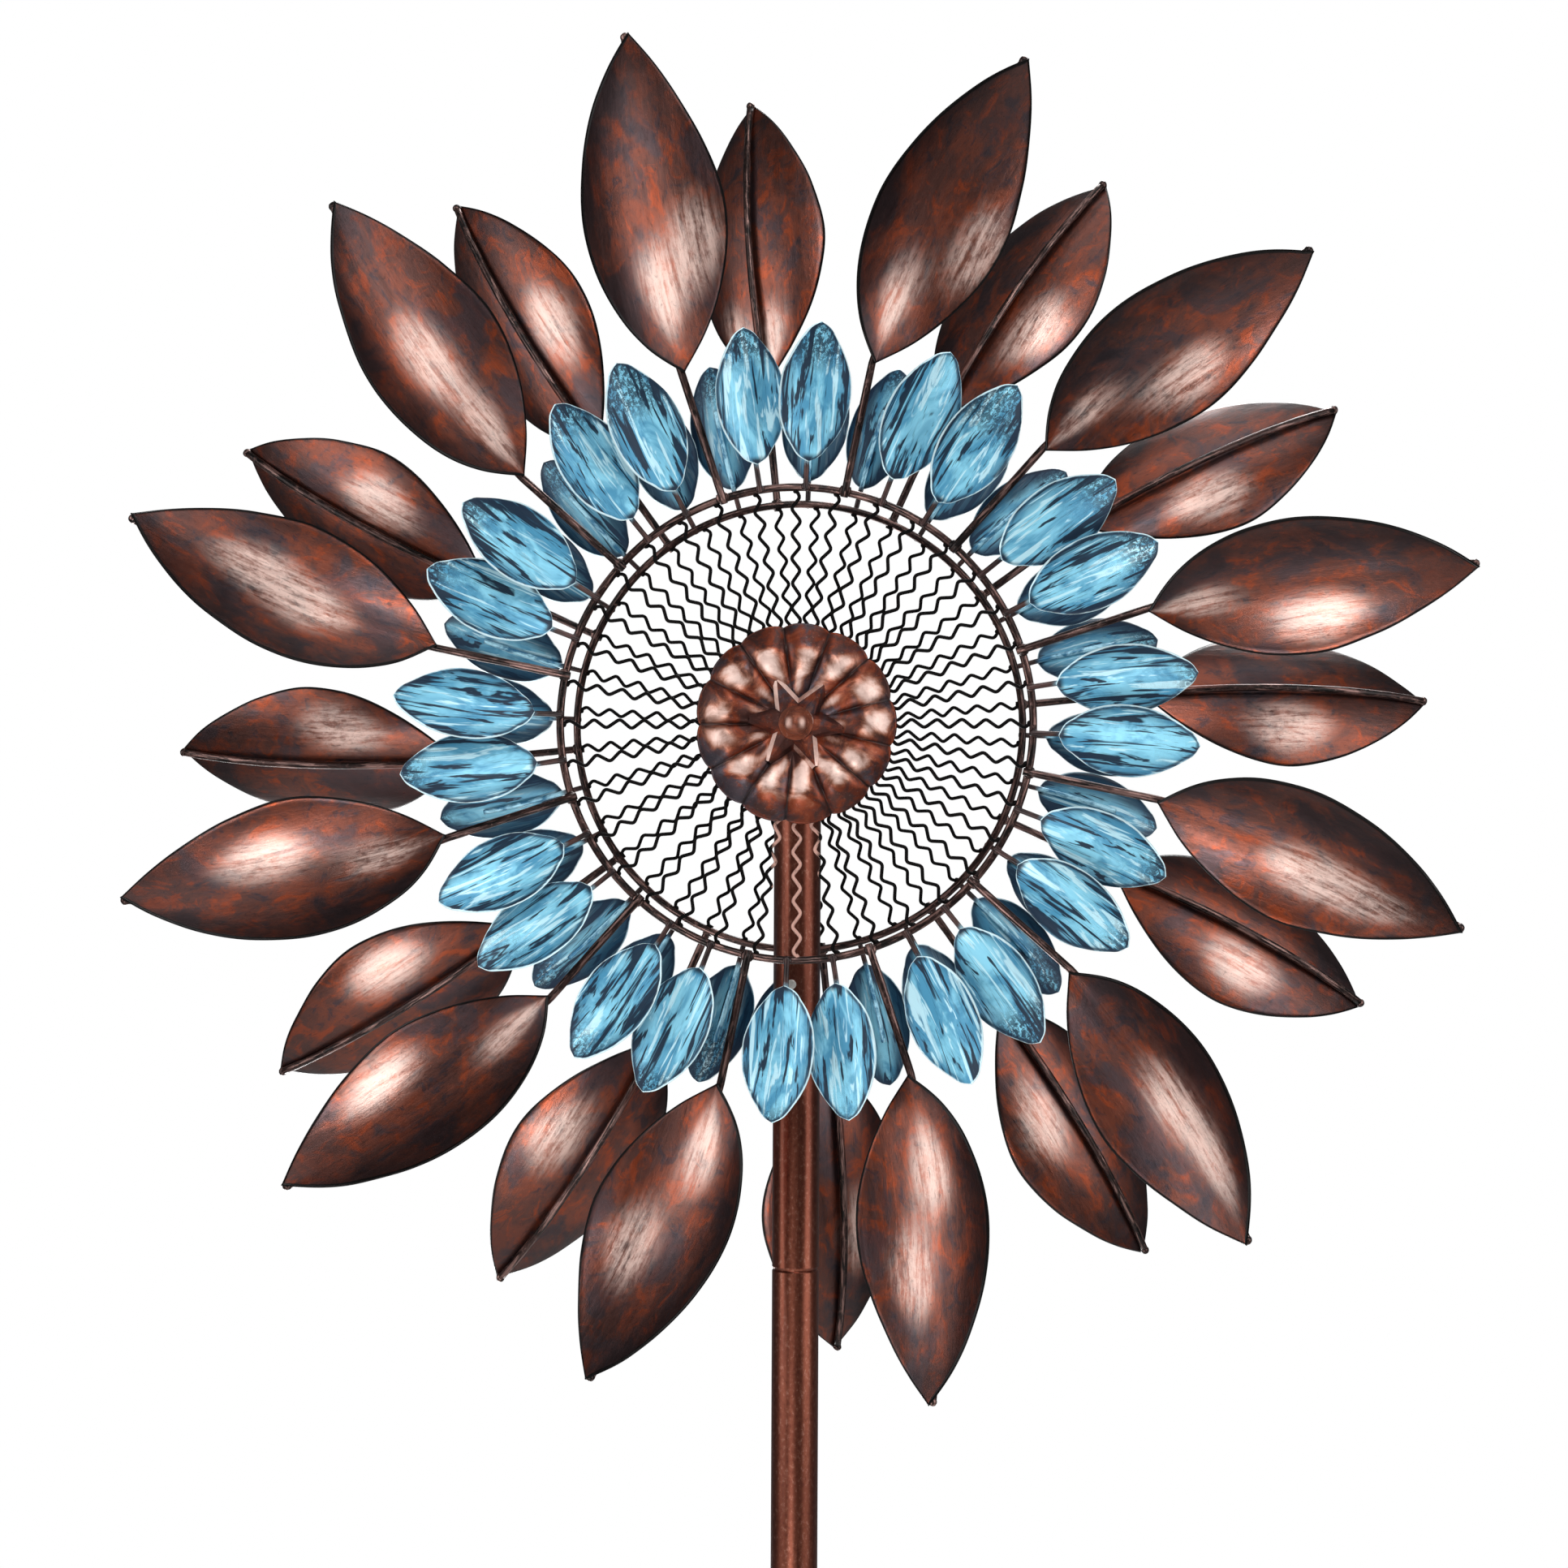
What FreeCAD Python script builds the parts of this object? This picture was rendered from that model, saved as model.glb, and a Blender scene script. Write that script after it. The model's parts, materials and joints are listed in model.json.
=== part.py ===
import FreeCAD, Part
import math
import os

from FreeCAD import Rotation, Vector

# Kinetic wind sculpture: two counter-rotating rotors of leaves and petals on a sectional pole.
#
# Millimetres, +Z up. The origin is on the pole's axis at the ground line, the rotors' axle runs along Y,
# and the front rotor is on the -Y side. Angles on a rotor run from +X towards +Z, as seen from the front.

# ---- driving dimensions ------------------------------------------------------------------------

AXLE_HEIGHT = 1420.0        # axle above the ground line
PRONG_DEPTH = 180.0         # prong tips below the ground line

# pole
POLE_R = 10.8               # outside radius of every pole tube
POLE_BORE_R = 9.6
SPIGOT_R = 9.5              # swaged end that plugs into the next tube
SPIGOT_BORE_R = 8.3
HEAD_TUBE_DROP = 251.0      # lower end of the head tube below the axle
HEAD_TUBE_RISE = 16.0       # top of the head tube above the axle
POLE_FOOT = 4.0             # lower end of the pole, on the socket's floor
POLE_SECTIONS = 3
SPIGOT_LENGTH = 60.0
HEAD_SPIGOT_LENGTH = 150.0
RIM_ROLL = 0.7              # rolled-in edge of a tube's end

# ground stake
SOCKET_R = 13.2
SOCKET_BORE_R = 10.9
SOCKET_HEIGHT = 130.0
PRONG_R = 4.0
PRONG_CIRCLE_R = 85.0
PRONG_BEND_R = 20.0
PRONG_POINT = 28.0
PRONG_RUN_HEIGHT = 24.0     # level run that is stepped on, above the ground line
PRONG_COUNT = 4

# small screws
SCREW_SHANK_R = 1.6
SCREW_HEAD_R = 3.2
SCREW_HEAD_H = 1.8
LOCK_SCREW_DROP = 119.0     # lock screw below the axle
LOCK_SCREW_TURN = 12.0      # and round the pole from the front
CLAMP_SHANK_R = 3.0
CLAMP_HEAD_R = 6.0
CLAMP_HEAD_H = 5.0
CLAMP_HEIGHTS = (60.0, 108.0)

# axle stack, as distances from the pole's axis along the axle
AXLE_R = 4.0
AXLE_END = 70.0
HOUSING_R = 7.0
HOUSING_END = 19.0
BEARING_STARTS = (22.0, 43.0)
BEARING_WIDTH = 7.0
BEARING_R = 11.0
INNER_RACE_R = 6.1
OUTER_RACE_BORE_R = 9.2
BALL_R = 1.98
BALL_PITCH_R = 7.65
BALL_COUNT = 7
RACE_GROOVE_CLEARANCE = 0.06
SPACER_R = 5.6
SPACER_BORE_R = 4.05
HUB_START = 21.0
HUB_END = 51.0
HUB_R = 13.5
HUB_WAIST_R = 10.0
HUB_FLANGE_R = 36.0
HUB_FLANGE_T = 2.0
WASHER_START = 61.0
WASHER_T = 1.5
WASHER_R = 7.6
NUT_HEX_H = 5.0
NUT_ACROSS_FLATS = 11.0
NUT_DOME_R = 5.2
NUT_END = 76.0

# ring and wires
RING_PLANE = 45.0           # distance of the ring's centre line from the pole's axis
RING_R = 106.0
RING_ROD_R = 1.75
WIRE_R = 0.8
WIRE_COUNT = 36
WIRE_INNER_R = 31.0
WIRE_OUTER_R = 105.0
WIRE_FIRST_CORNER = 101.7   # radius of the corner nearest the ring
WIRE_PERIOD = 11.1
WIRE_SWING = 2.1            # corner's distance from the wire's mean line
WIRE_BEND_R = 1.3

# leaves; an outline is a row of (share of the length, half width) between its two points
LEAF_COUNT = 12
LEAF_BASE_R = 164.5
LEAF_LENGTH = 148.5         # along the spine
LEAF_OUTLINE = ((0.1, 15.8), (0.25, 29.2), (0.45, 35.6), (0.65, 30.7), (0.8, 21.2), (0.9, 12.1))
LEAF_SPINE_BEND = 225.0     # radius of the spine's arc
LEAF_CUP_BEND = 73.0        # radius of the arc across the leaf
LEAF_PITCH = 30.0           # turn about the arm; the clockwise edge is nearer the pole
LEAF_SHEET = 1.2
ARM_R = 1.75
ARM_START_R = 103.5
ARM_REACH = 0.98            # share of the leaf's length that the arm backs
ARM_BALL_R = 2.1

# petals
PETAL_BASE_R = 117.2
PETAL_LENGTH = 63.3
PETAL_OUTLINE = ((0.03, 4.4), (0.1, 8.4), (0.2, 12.8), (0.35, 16.1), (0.5, 16.9), (0.65, 15.7), (0.8, 11.8),
                 (0.9, 7.7), (0.97, 3.9))
PETAL_SPINE_BEND = 150.0
PETAL_CUP_BEND = 34.0
PETAL_PITCH = 17.0
PETAL_SHEET = 0.8
STEM_R = 1.25
STEM_START_R = 104.5
STEM_REACH = 0.62           # share of the petal's length that the stem backs
WELD_SINK = 0.15            # how far a welded rod sinks into what it lies on

# rosette and star
ROSETTE_R = 45.0
ROSETTE_LOBES = 13
ROSETTE_SCALLOP = 1.8       # depth of the notch between two lobes at the rim
ROSETTE_SHEET = 1.0
ROSETTE_HOLE_R = 6.4
ROSETTE_CROWN = ((HUB_R, HUB_END), (20.0, 53.8), (31.0, 58.0), (ROSETTE_R, 48.8))  # (radius, height)
STAR_POINTS = 6
STAR_R = 20.8
STAR_VALLEY_R = 9.0
STAR_SEAT = HUB_END + ROSETTE_SHEET
STAR_COLLAR_R = 8.4
STAR_VALLEY_RISE = 3.2      # heights above the seat
STAR_TIP_RISE = 4.2
STAR_PEAK_RISE = 9.4
STAR_TURN = -5.5

# angles of a rotor's first arm and first wire, and of the petals each side of an arm, in degrees
FRONT = {"name": "front", "side": -1, "arms": 18.4, "wires": 10.4, "petals": (-9.3, 9.6)}
BACK = {"name": "back", "side": 1, "arms": 6.0, "wires": 6.0, "petals": (-7.8, 9.8)}

LOCAL_X = Vector(1, 0, 0)
LOCAL_Y = Vector(0, 1, 0)
LOCAL_Z = Vector(0, 0, 1)
ORIGIN = Vector(0, 0, 0)


# ---- helpers -----------------------------------------------------------------------------------

def save(name, shape):
    """Write one node's solids to its own file."""
    if not shape.isValid():
        raise RuntimeError("bad shape: " + name)
    shape.exportStep("parts/" + name + ".step")


def revolved(profile):
    """Turn a closed outline of (radius, height) points about Z."""
    points = [Vector(r, 0, h) for r, h in profile]
    face = Part.Face(Part.makePolygon(points + points[:1]))
    return face.revolve(ORIGIN, LOCAL_Z, 360)


def tube(outer, inner, low, high):
    """A plain tube about Z."""
    return revolved([(inner, low), (outer, low), (outer, high), (inner, high)])


def rounded_path(points, bend):
    """Straight runs joined by tangent arcs of one radius."""
    edges = []
    start = points[0]
    for before, corner, after in zip(points, points[1:], points[2:]):
        arriving = (corner - before).normalize()
        leaving = (after - corner).normalize()
        half_turn = arriving.getAngle(leaving) / 2
        cut = bend * math.tan(half_turn)
        arc_start = corner - arriving * cut
        arc_end = corner + leaving * cut
        inward = (leaving - arriving).normalize()
        arc_middle = corner + inward * (bend / math.cos(half_turn) - bend)
        edges.append(Part.LineSegment(start, arc_start).toShape())
        edges.append(Part.Arc(arc_start, arc_middle, arc_end).toShape())
        start = arc_end
    edges.append(Part.LineSegment(start, points[-1]).toShape())
    return Part.Wire(edges)


def rod_along(path, radius):
    """A round rod swept along a wire that starts in the direction of its first edge."""
    first = path.Edges[0]
    point = first.valueAt(first.FirstParameter)
    direction = first.tangentAt(first.FirstParameter)
    section = Part.Wire(Part.makeCircle(radius, point, direction))
    return path.makePipeShell([section], True, False)


def placed(shape, rotor, angle=0.0):
    """A copy of a piece made in a rotor's own axes: x radial, y tangential, z away from the pole.

    The back rotor is the front one's mirror image.
    """
    turn = math.radians(angle)
    radial = Vector(math.cos(turn), 0, math.sin(turn))
    tangent = Vector(-math.sin(turn), 0, math.cos(turn))
    away = Vector(0, -1, 0)
    copy = shape.copy()
    seat = FreeCAD.Placement(Vector(0, 0, AXLE_HEIGHT), Rotation(radial, tangent, away, "ZYX"))
    copy.Placement = seat.multiply(copy.Placement)
    if rotor["side"] > 0:
        copy = copy.mirror(ORIGIN, LOCAL_Y)
    return copy


def repeated(shape, rotor, angles):
    """Separate copies of one piece round a rotor."""
    return Part.makeCompound([placed(shape, rotor, angle) for angle in angles])


def about_pole(shape, angle):
    """A shape made about Z at the ground line, turned round the pole."""
    copy = shape.copy()
    copy.rotate(ORIGIN, LOCAL_Z, angle)
    return copy


# ---- pole and ground stake ---------------------------------------------------------------------

POLE_TOP = AXLE_HEIGHT - HEAD_TUBE_DROP
SECTION_LENGTH = (POLE_TOP - POLE_FOOT) / POLE_SECTIONS


def pole_screw_hole(height, turn, radius, depth):
    """A cutter for a screw hole through the back wall at one height."""
    hole = Part.makeCylinder(radius, depth, Vector(0, 0, height), LOCAL_Y)
    return about_pole(hole, turn)


def pan_screw(height, turn, shank_r, head_r, head_h, seat, reach):
    """A screw that points at the pole's axis, with its head on the wall at the radius 'seat'."""
    shank = Part.makeCylinder(shank_r, reach, Vector(0, seat - reach, height), LOCAL_Y)
    head = Part.makeCylinder(head_r, head_h, Vector(0, seat, height), LOCAL_Y)
    head = head.makeFillet(head_h * 0.45, [head.Edges[0]])
    return about_pole(shank.fuse(head), turn)


def joint_height(index):
    """Height of the screw above the joint at the top of a section."""
    return POLE_FOOT + SECTION_LENGTH * index + SPIGOT_LENGTH / 2


def pole_section(index):
    """A pole tube with its swaged spigot, drilled for the joint screws it meets."""
    low = POLE_FOOT + SECTION_LENGTH * (index - 1)
    high = low + SECTION_LENGTH
    spigot = HEAD_SPIGOT_LENGTH if index == POLE_SECTIONS else SPIGOT_LENGTH
    section = revolved([
        (POLE_BORE_R, low), (POLE_R - RIM_ROLL, low), (POLE_R, low + RIM_ROLL),
        (POLE_R, high - RIM_ROLL), (POLE_R - RIM_ROLL, high), (SPIGOT_R, high),
        (SPIGOT_R, high + spigot - RIM_ROLL), (SPIGOT_R - RIM_ROLL, high + spigot),
        (SPIGOT_BORE_R, high + spigot), (SPIGOT_BORE_R, high - 4), (POLE_BORE_R, high - 8)])
    if index > 1:
        section = section.cut(pole_screw_hole(joint_height(index - 1), 0, SCREW_SHANK_R, POLE_R + 2))
    if index < POLE_SECTIONS:
        section = section.cut(pole_screw_hole(joint_height(index), 0, SCREW_SHANK_R, POLE_R + 2))
    else:
        lock = AXLE_HEIGHT - LOCK_SCREW_DROP
        section = section.cut(pole_screw_hole(lock, 180 - LOCK_SCREW_TURN, SCREW_SHANK_R, POLE_R + 2))
    return section


def head_tube():
    """The uppermost tube, bored across for the axle housing."""
    low = AXLE_HEIGHT - HEAD_TUBE_DROP
    high = AXLE_HEIGHT + HEAD_TUBE_RISE
    shell = revolved([
        (POLE_BORE_R, low), (POLE_R - RIM_ROLL, low), (POLE_R, low + 2 * RIM_ROLL),
        (POLE_R, high), (POLE_BORE_R, high)])
    cross = Part.makeCylinder(HOUSING_R, 4 * POLE_R, Vector(0, -2 * POLE_R, AXLE_HEIGHT), LOCAL_Y)
    lock = AXLE_HEIGHT - LOCK_SCREW_DROP
    return shell.cut(cross).cut(pole_screw_hole(lock, 180 - LOCK_SCREW_TURN, SCREW_SHANK_R, POLE_R + 2))


def head_cap():
    """Domed plug in the top of the head tube, short enough to clear the axle housing."""
    top = AXLE_HEIGHT + HEAD_TUBE_RISE
    plug = Part.makeCylinder(POLE_BORE_R, 7, Vector(0, 0, top - 7))
    brim = Part.makeCylinder(POLE_R, 3, Vector(0, 0, top))
    brim = brim.makeFillet(2.4, [brim.Edges[0]])
    return plug.fuse(brim)


def stake_socket():
    """Floor and wall of the cup that the pole stands in, tapped for the clamp screws."""
    cup = revolved([(0, 0), (SOCKET_R, 0), (SOCKET_R, SOCKET_HEIGHT - 1), (SOCKET_R - 1, SOCKET_HEIGHT),
                    (SOCKET_BORE_R, SOCKET_HEIGHT), (SOCKET_BORE_R, POLE_FOOT), (0, POLE_FOOT)])
    for height in CLAMP_HEIGHTS:
        cup = cup.cut(pole_screw_hole(height, 0, CLAMP_SHANK_R, SOCKET_R + 2))
    return cup


def clamp_screws():
    """Two thumb-turned screws that bear on the pole."""
    reach = SOCKET_R + 2 - POLE_R
    return Part.makeCompound([
        pan_screw(height, 0, CLAMP_SHANK_R, CLAMP_HEAD_R, CLAMP_HEAD_H, SOCKET_R + 2, reach)
        for height in CLAMP_HEIGHTS])


def stake_prongs():
    """Four bent rods: a level run to step on and a pointed leg into the ground."""
    path = rounded_path([Vector(SOCKET_R - 0.6, 0, PRONG_RUN_HEIGHT),
                         Vector(PRONG_CIRCLE_R, 0, PRONG_RUN_HEIGHT),
                         Vector(PRONG_CIRCLE_R, 0, PRONG_POINT - PRONG_DEPTH)], PRONG_BEND_R)
    rod = rod_along(path, PRONG_R)
    point = Part.makeCone(0.8, PRONG_R, PRONG_POINT, Vector(PRONG_CIRCLE_R, 0, -PRONG_DEPTH))
    prong = rod.fuse(point)
    return Part.makeCompound([about_pole(prong, 360 / PRONG_COUNT * i) for i in range(PRONG_COUNT)])


def pole_screws():
    """One screw through each joint between pole sections, on the back."""
    return Part.makeCompound([
        pan_screw(joint_height(i), 0, SCREW_SHANK_R, SCREW_HEAD_R, SCREW_HEAD_H, POLE_R, 3.2)
        for i in range(1, POLE_SECTIONS)])


def lock_screw():
    """Screw that locks the head tube on the pole, near the front."""
    return pan_screw(AXLE_HEIGHT - LOCK_SCREW_DROP, 180 - LOCK_SCREW_TURN, SCREW_SHANK_R,
                     SCREW_HEAD_R * 0.7, SCREW_HEAD_H * 0.6, POLE_R, 3.2)


# ---- axle, on the pole -------------------------------------------------------------------------

def axle():
    rod = revolved([(0, -AXLE_END), (AXLE_R - 0.5, -AXLE_END), (AXLE_R - 0.03, 0.5 - AXLE_END),
                    (AXLE_R - 0.03, AXLE_END - 0.5), (AXLE_R - 0.5, AXLE_END), (0, AXLE_END)])
    return placed(rod, FRONT)


def axle_housing():
    """Tube welded across the head tube."""
    return placed(tube(HOUSING_R, SPACER_BORE_R, -HOUSING_END, HOUSING_END), FRONT)


def both_sides(piece):
    """The same piece on the front and on the back end of the axle."""
    return Part.makeCompound([placed(solid, rotor) for rotor in (FRONT, BACK) for solid in piece.Solids])


def axle_spacers():
    """Sleeves that carry the clamping force from the nut through the inner races to the housing."""
    first, second = BEARING_STARTS
    spans = ((HOUSING_END, first), (first + BEARING_WIDTH, second), (second + BEARING_WIDTH, WASHER_START))
    return both_sides(Part.makeCompound([tube(SPACER_R, SPACER_BORE_R, a, b) for a, b in spans]))


def race(inner, outer, start):
    """A plain ring with the ball groove turned out of it."""
    ring = tube(outer, inner, start, start + BEARING_WIDTH)
    middle = Vector(0, 0, start + BEARING_WIDTH / 2)
    return ring.cut(Part.makeTorus(BALL_PITCH_R, BALL_R + RACE_GROOVE_CLEARANCE, middle))


def inner_races():
    return both_sides(Part.makeCompound([race(AXLE_R, INNER_RACE_R, start) for start in BEARING_STARTS]))


def bearing_balls():
    balls = []
    for start in BEARING_STARTS:
        middle = start + BEARING_WIDTH / 2
        for i in range(BALL_COUNT):
            turn = 2 * math.pi * i / BALL_COUNT
            centre = Vector(BALL_PITCH_R * math.cos(turn), BALL_PITCH_R * math.sin(turn), middle)
            balls.append(Part.makeSphere(BALL_R, centre))
    return both_sides(Part.makeCompound(balls))


def washers():
    return both_sides(tube(WASHER_R, SPACER_BORE_R, WASHER_START, WASHER_START + WASHER_T))


def acorn_nuts():
    """Hexagon with a domed blind end."""
    seat = WASHER_START + WASHER_T
    corner_r = NUT_ACROSS_FLATS / math.sqrt(3)
    corners = []
    for i in range(7):
        turn = math.radians(60 * i)
        corners.append(Vector(corner_r * math.cos(turn), corner_r * math.sin(turn), seat))
    prism = Part.Face(Part.makePolygon(corners)).extrude(Vector(0, 0, NUT_HEX_H))
    dome_low = seat + NUT_HEX_H
    dome_side = NUT_END - NUT_DOME_R
    dome = Part.makeCylinder(NUT_DOME_R, dome_side - dome_low, Vector(0, 0, dome_low))
    dome = dome.fuse(Part.makeSphere(NUT_DOME_R, Vector(0, 0, dome_side), LOCAL_Z, 0, 90, 360))
    bore = Part.makeCylinder(AXLE_R, AXLE_END + 0.5 - seat, Vector(0, 0, seat))
    return both_sides(prism.fuse(dome).cut(bore))


# ---- rotor -------------------------------------------------------------------------------------

def hub():
    """Bearing tube with the flange that the wires are welded to."""
    first, second = BEARING_STARTS
    flange = RING_PLANE + WIRE_R - WELD_SINK
    return revolved([
        (BEARING_R, HUB_START), (HUB_R, HUB_START), (HUB_R, flange), (HUB_FLANGE_R, flange),
        (HUB_FLANGE_R, flange + HUB_FLANGE_T), (HUB_R, flange + HUB_FLANGE_T), (HUB_R, HUB_END),
        (BEARING_R, HUB_END), (BEARING_R, second), (HUB_WAIST_R, second),
        (HUB_WAIST_R, first + BEARING_WIDTH), (BEARING_R, first + BEARING_WIDTH)])


def outer_races():
    return Part.makeCompound([race(OUTER_RACE_BORE_R, BEARING_R, start) for start in BEARING_STARTS])


def ring():
    return Part.makeTorus(RING_R, RING_ROD_R, Vector(0, 0, RING_PLANE))


def zigzag_wire():
    """One spoke: a round wire bent to and fro in the plane of the ring."""
    points = [Vector(WIRE_OUTER_R, 0, RING_PLANE)]
    radius = WIRE_FIRST_CORNER
    swing = -WIRE_SWING
    while radius > WIRE_INNER_R + WIRE_PERIOD / 4:
        points.append(Vector(radius, swing, RING_PLANE))
        radius -= WIRE_PERIOD / 2
        swing = -swing
    points.append(Vector(WIRE_INNER_R, 0, RING_PLANE))
    return rod_along(rounded_path(points, WIRE_BEND_R), WIRE_R)


def blade_placement(pitch, rod_plane, offset):
    """Blade axes: x along the arm, y across the blade, z out of its hollow face, rod's line on the radius."""
    tilt = Rotation(LOCAL_X, pitch)
    return FreeCAD.Placement(Vector(0, 0, rod_plane) + tilt.multVec(Vector(0, 0, offset)), tilt)


def blade_outline(length, outline):
    """A flat face, symmetric about x and centred on the origin, from one side's half widths."""
    side = [Vector(length * (share - 0.5), width, 0) for share, width in outline]
    ends = [Vector(-length / 2, 0, 0), Vector(length / 2, 0, 0)]
    edges = []
    for sign in (1, -1):
        curve = Part.BSplineCurve()
        curve.interpolate(ends[:1] + [Vector(point.x, sign * point.y, 0) for point in side] + ends[1:])
        edges.append(curve.toShape())
    return Part.Face(Part.Wire(edges))


def blade_sheet(base, length, outline, spine_bend, cup_bend, sheet):
    """A pointed oval of sheet metal, bent along its spine and across it, hollow towards +z."""
    reach = math.degrees(length / spine_bend)
    spare = 3.0
    half_width = max(width for _, width in outline)
    half_sweep = math.degrees(math.asin(half_width * 1.2 / cup_bend))
    near, far = cup_bend, cup_bend + sheet

    def section_point(radius, degrees):
        angle = math.radians(degrees)
        return Vector(base, radius * math.sin(angle), cup_bend - radius * math.cos(angle))

    edges = []
    for radius in (near, far):
        edges.append(Part.Arc(section_point(radius, -half_sweep), section_point(radius, 0),
                              section_point(radius, half_sweep)).toShape())
    for side in (-half_sweep, half_sweep):
        edges.append(Part.LineSegment(section_point(near, side), section_point(far, side)).toShape())
    face = Part.Face(Part.Wire(Part.__sortEdges__(edges)))
    centre = Vector(base, 0, spine_bend)
    face.rotate(centre, LOCAL_Y, spare)
    shell = face.revolve(centre, -LOCAL_Y, reach + 2 * spare)

    half_turn = math.radians(reach / 2)
    half_chord = spine_bend * math.sin(half_turn)
    middle = Vector(base + half_chord * math.cos(half_turn), 0, half_chord * math.sin(half_turn))
    prism = blade_outline(2 * half_chord, outline).extrude(Vector(0, 0, 4 * half_width))
    prism.translate(Vector(0, 0, -2 * half_width))
    prism.rotate(ORIGIN, LOCAL_Y, -reach / 2)
    prism.translate(middle)
    return shell.common(prism)


def blade_rod(start, base, reach_length, spine_bend, offset, rod_r):
    """Rod that runs out along the radius and on along the back of its blade."""
    angle = reach_length / spine_bend
    bend = spine_bend + offset

    def back_point(turn):
        return Vector(base + bend * math.sin(turn), 0, spine_bend - bend * math.cos(turn))

    path = Part.Wire([
        Part.LineSegment(Vector(start, 0, -offset), back_point(0)).toShape(),
        Part.Arc(back_point(0), back_point(angle / 2), back_point(angle)).toShape()])
    return rod_along(path, rod_r), back_point(angle)


def leaf_and_arm():
    """One leaf and its arm, in the rotor's axes, for an arm on the x axis."""
    offset = LEAF_SHEET + ARM_R
    leaf = blade_sheet(LEAF_BASE_R, LEAF_LENGTH, LEAF_OUTLINE, LEAF_SPINE_BEND, LEAF_CUP_BEND, LEAF_SHEET)
    rod, end = blade_rod(ARM_START_R, LEAF_BASE_R, LEAF_LENGTH * ARM_REACH, LEAF_SPINE_BEND, offset, ARM_R)
    arm = rod.fuse(Part.makeSphere(ARM_BALL_R, end))
    arm = arm.cut(leaf)
    place = blade_placement(LEAF_PITCH, RING_PLANE + RING_ROD_R + ARM_R - WELD_SINK, offset)
    leaf.Placement = place
    arm.Placement = place
    return leaf, arm


def petal_and_stem():
    """One petal and its stem, in the rotor's axes, for a stem on the x axis."""
    offset = PETAL_SHEET + STEM_R
    petal = blade_sheet(PETAL_BASE_R, PETAL_LENGTH, PETAL_OUTLINE, PETAL_SPINE_BEND, PETAL_CUP_BEND,
                        PETAL_SHEET)
    stem = blade_rod(STEM_START_R, PETAL_BASE_R, PETAL_LENGTH * STEM_REACH, PETAL_SPINE_BEND, offset, STEM_R)[0]
    place = blade_placement(PETAL_PITCH, RING_PLANE + RING_ROD_R + STEM_R - WELD_SINK, offset)
    petal.Placement = place
    stem.Placement = place
    return petal, stem


def rosette():
    """Pressed dish: a flat seat on the hub, a crown, and a rim of lobes."""
    lift = Vector(0, 0, ROSETTE_SHEET)
    under = [Vector(r, 0, h) for r, h in ROSETTE_CROWN]
    seat = Vector(ROSETTE_HOLE_R, 0, HUB_END)
    crown = Part.BSplineCurve()
    crown.interpolate([point + lift for point in under])
    hollow = Part.BSplineCurve()
    hollow.interpolate(under)
    edges = [Part.LineSegment(seat, under[0]).toShape(), hollow.toShape(),
             Part.LineSegment(under[-1], under[-1] + lift).toShape(), crown.toShape(),
             Part.LineSegment(under[0] + lift, seat + lift).toShape(),
             Part.LineSegment(seat + lift, seat).toShape()]
    dish = Part.Face(Part.Wire(Part.__sortEdges__(edges))).revolve(ORIGIN, LOCAL_Z, 360)
    return dish.common(scalloped_prism())


def scalloped_prism():
    """A tall prism whose outline has one outward arc for each lobe."""
    arcs = []
    notch_r = ROSETTE_R - ROSETTE_SCALLOP
    step = 2 * math.pi / ROSETTE_LOBES
    for i in range(ROSETTE_LOBES):
        first, middle, last = (step * (i + share) for share in (0, 0.5, 1))
        arcs.append(Part.Arc(Vector(notch_r * math.cos(first), notch_r * math.sin(first), 0),
                             Vector(ROSETTE_R * math.cos(middle), ROSETTE_R * math.sin(middle), 0),
                             Vector(notch_r * math.cos(last), notch_r * math.sin(last), 0)).toShape())
    return Part.Face(Part.Wire(arcs)).extrude(Vector(0, 0, 2 * RING_PLANE))


def star():
    """Six folded points on a collar, each with a ridge along its middle."""
    foot = Vector(0, 0, STAR_SEAT)
    peak = Vector(0, 0, STAR_SEAT + STAR_PEAK_RISE)
    step = math.pi / STAR_POINTS
    facets = []
    for i in range(STAR_POINTS):
        ridge = math.radians(STAR_TURN) + 2 * step * i
        tip = Vector(STAR_R * math.cos(ridge), STAR_R * math.sin(ridge), STAR_SEAT + STAR_TIP_RISE)
        for turn in (ridge - step, ridge + step):
            valley = Vector(STAR_VALLEY_R * math.cos(turn), STAR_VALLEY_R * math.sin(turn),
                            STAR_SEAT + STAR_VALLEY_RISE)
            facets.append(wedge(foot, tip, valley, peak))
    body = facets[0].multiFuse(facets[1:])
    collar = Part.makeCylinder(STAR_COLLAR_R, STAR_VALLEY_RISE, foot)
    bore = Part.makeCylinder(ROSETTE_HOLE_R, 2 * STAR_PEAK_RISE, foot)
    return body.fuse(collar).cut(bore).removeSplitter()


def wedge(foot, tip, valley, top):
    """A tetrahedron from four points."""
    triangles = ((foot, tip, valley), (foot, tip, top), (foot, valley, top), (tip, valley, top))
    faces = [Part.Face(Part.makePolygon([a, b, c, a])) for a, b, c in triangles]
    return Part.makeSolid(Part.makeShell(faces))


# ---- assembly ----------------------------------------------------------------------------------

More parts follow.
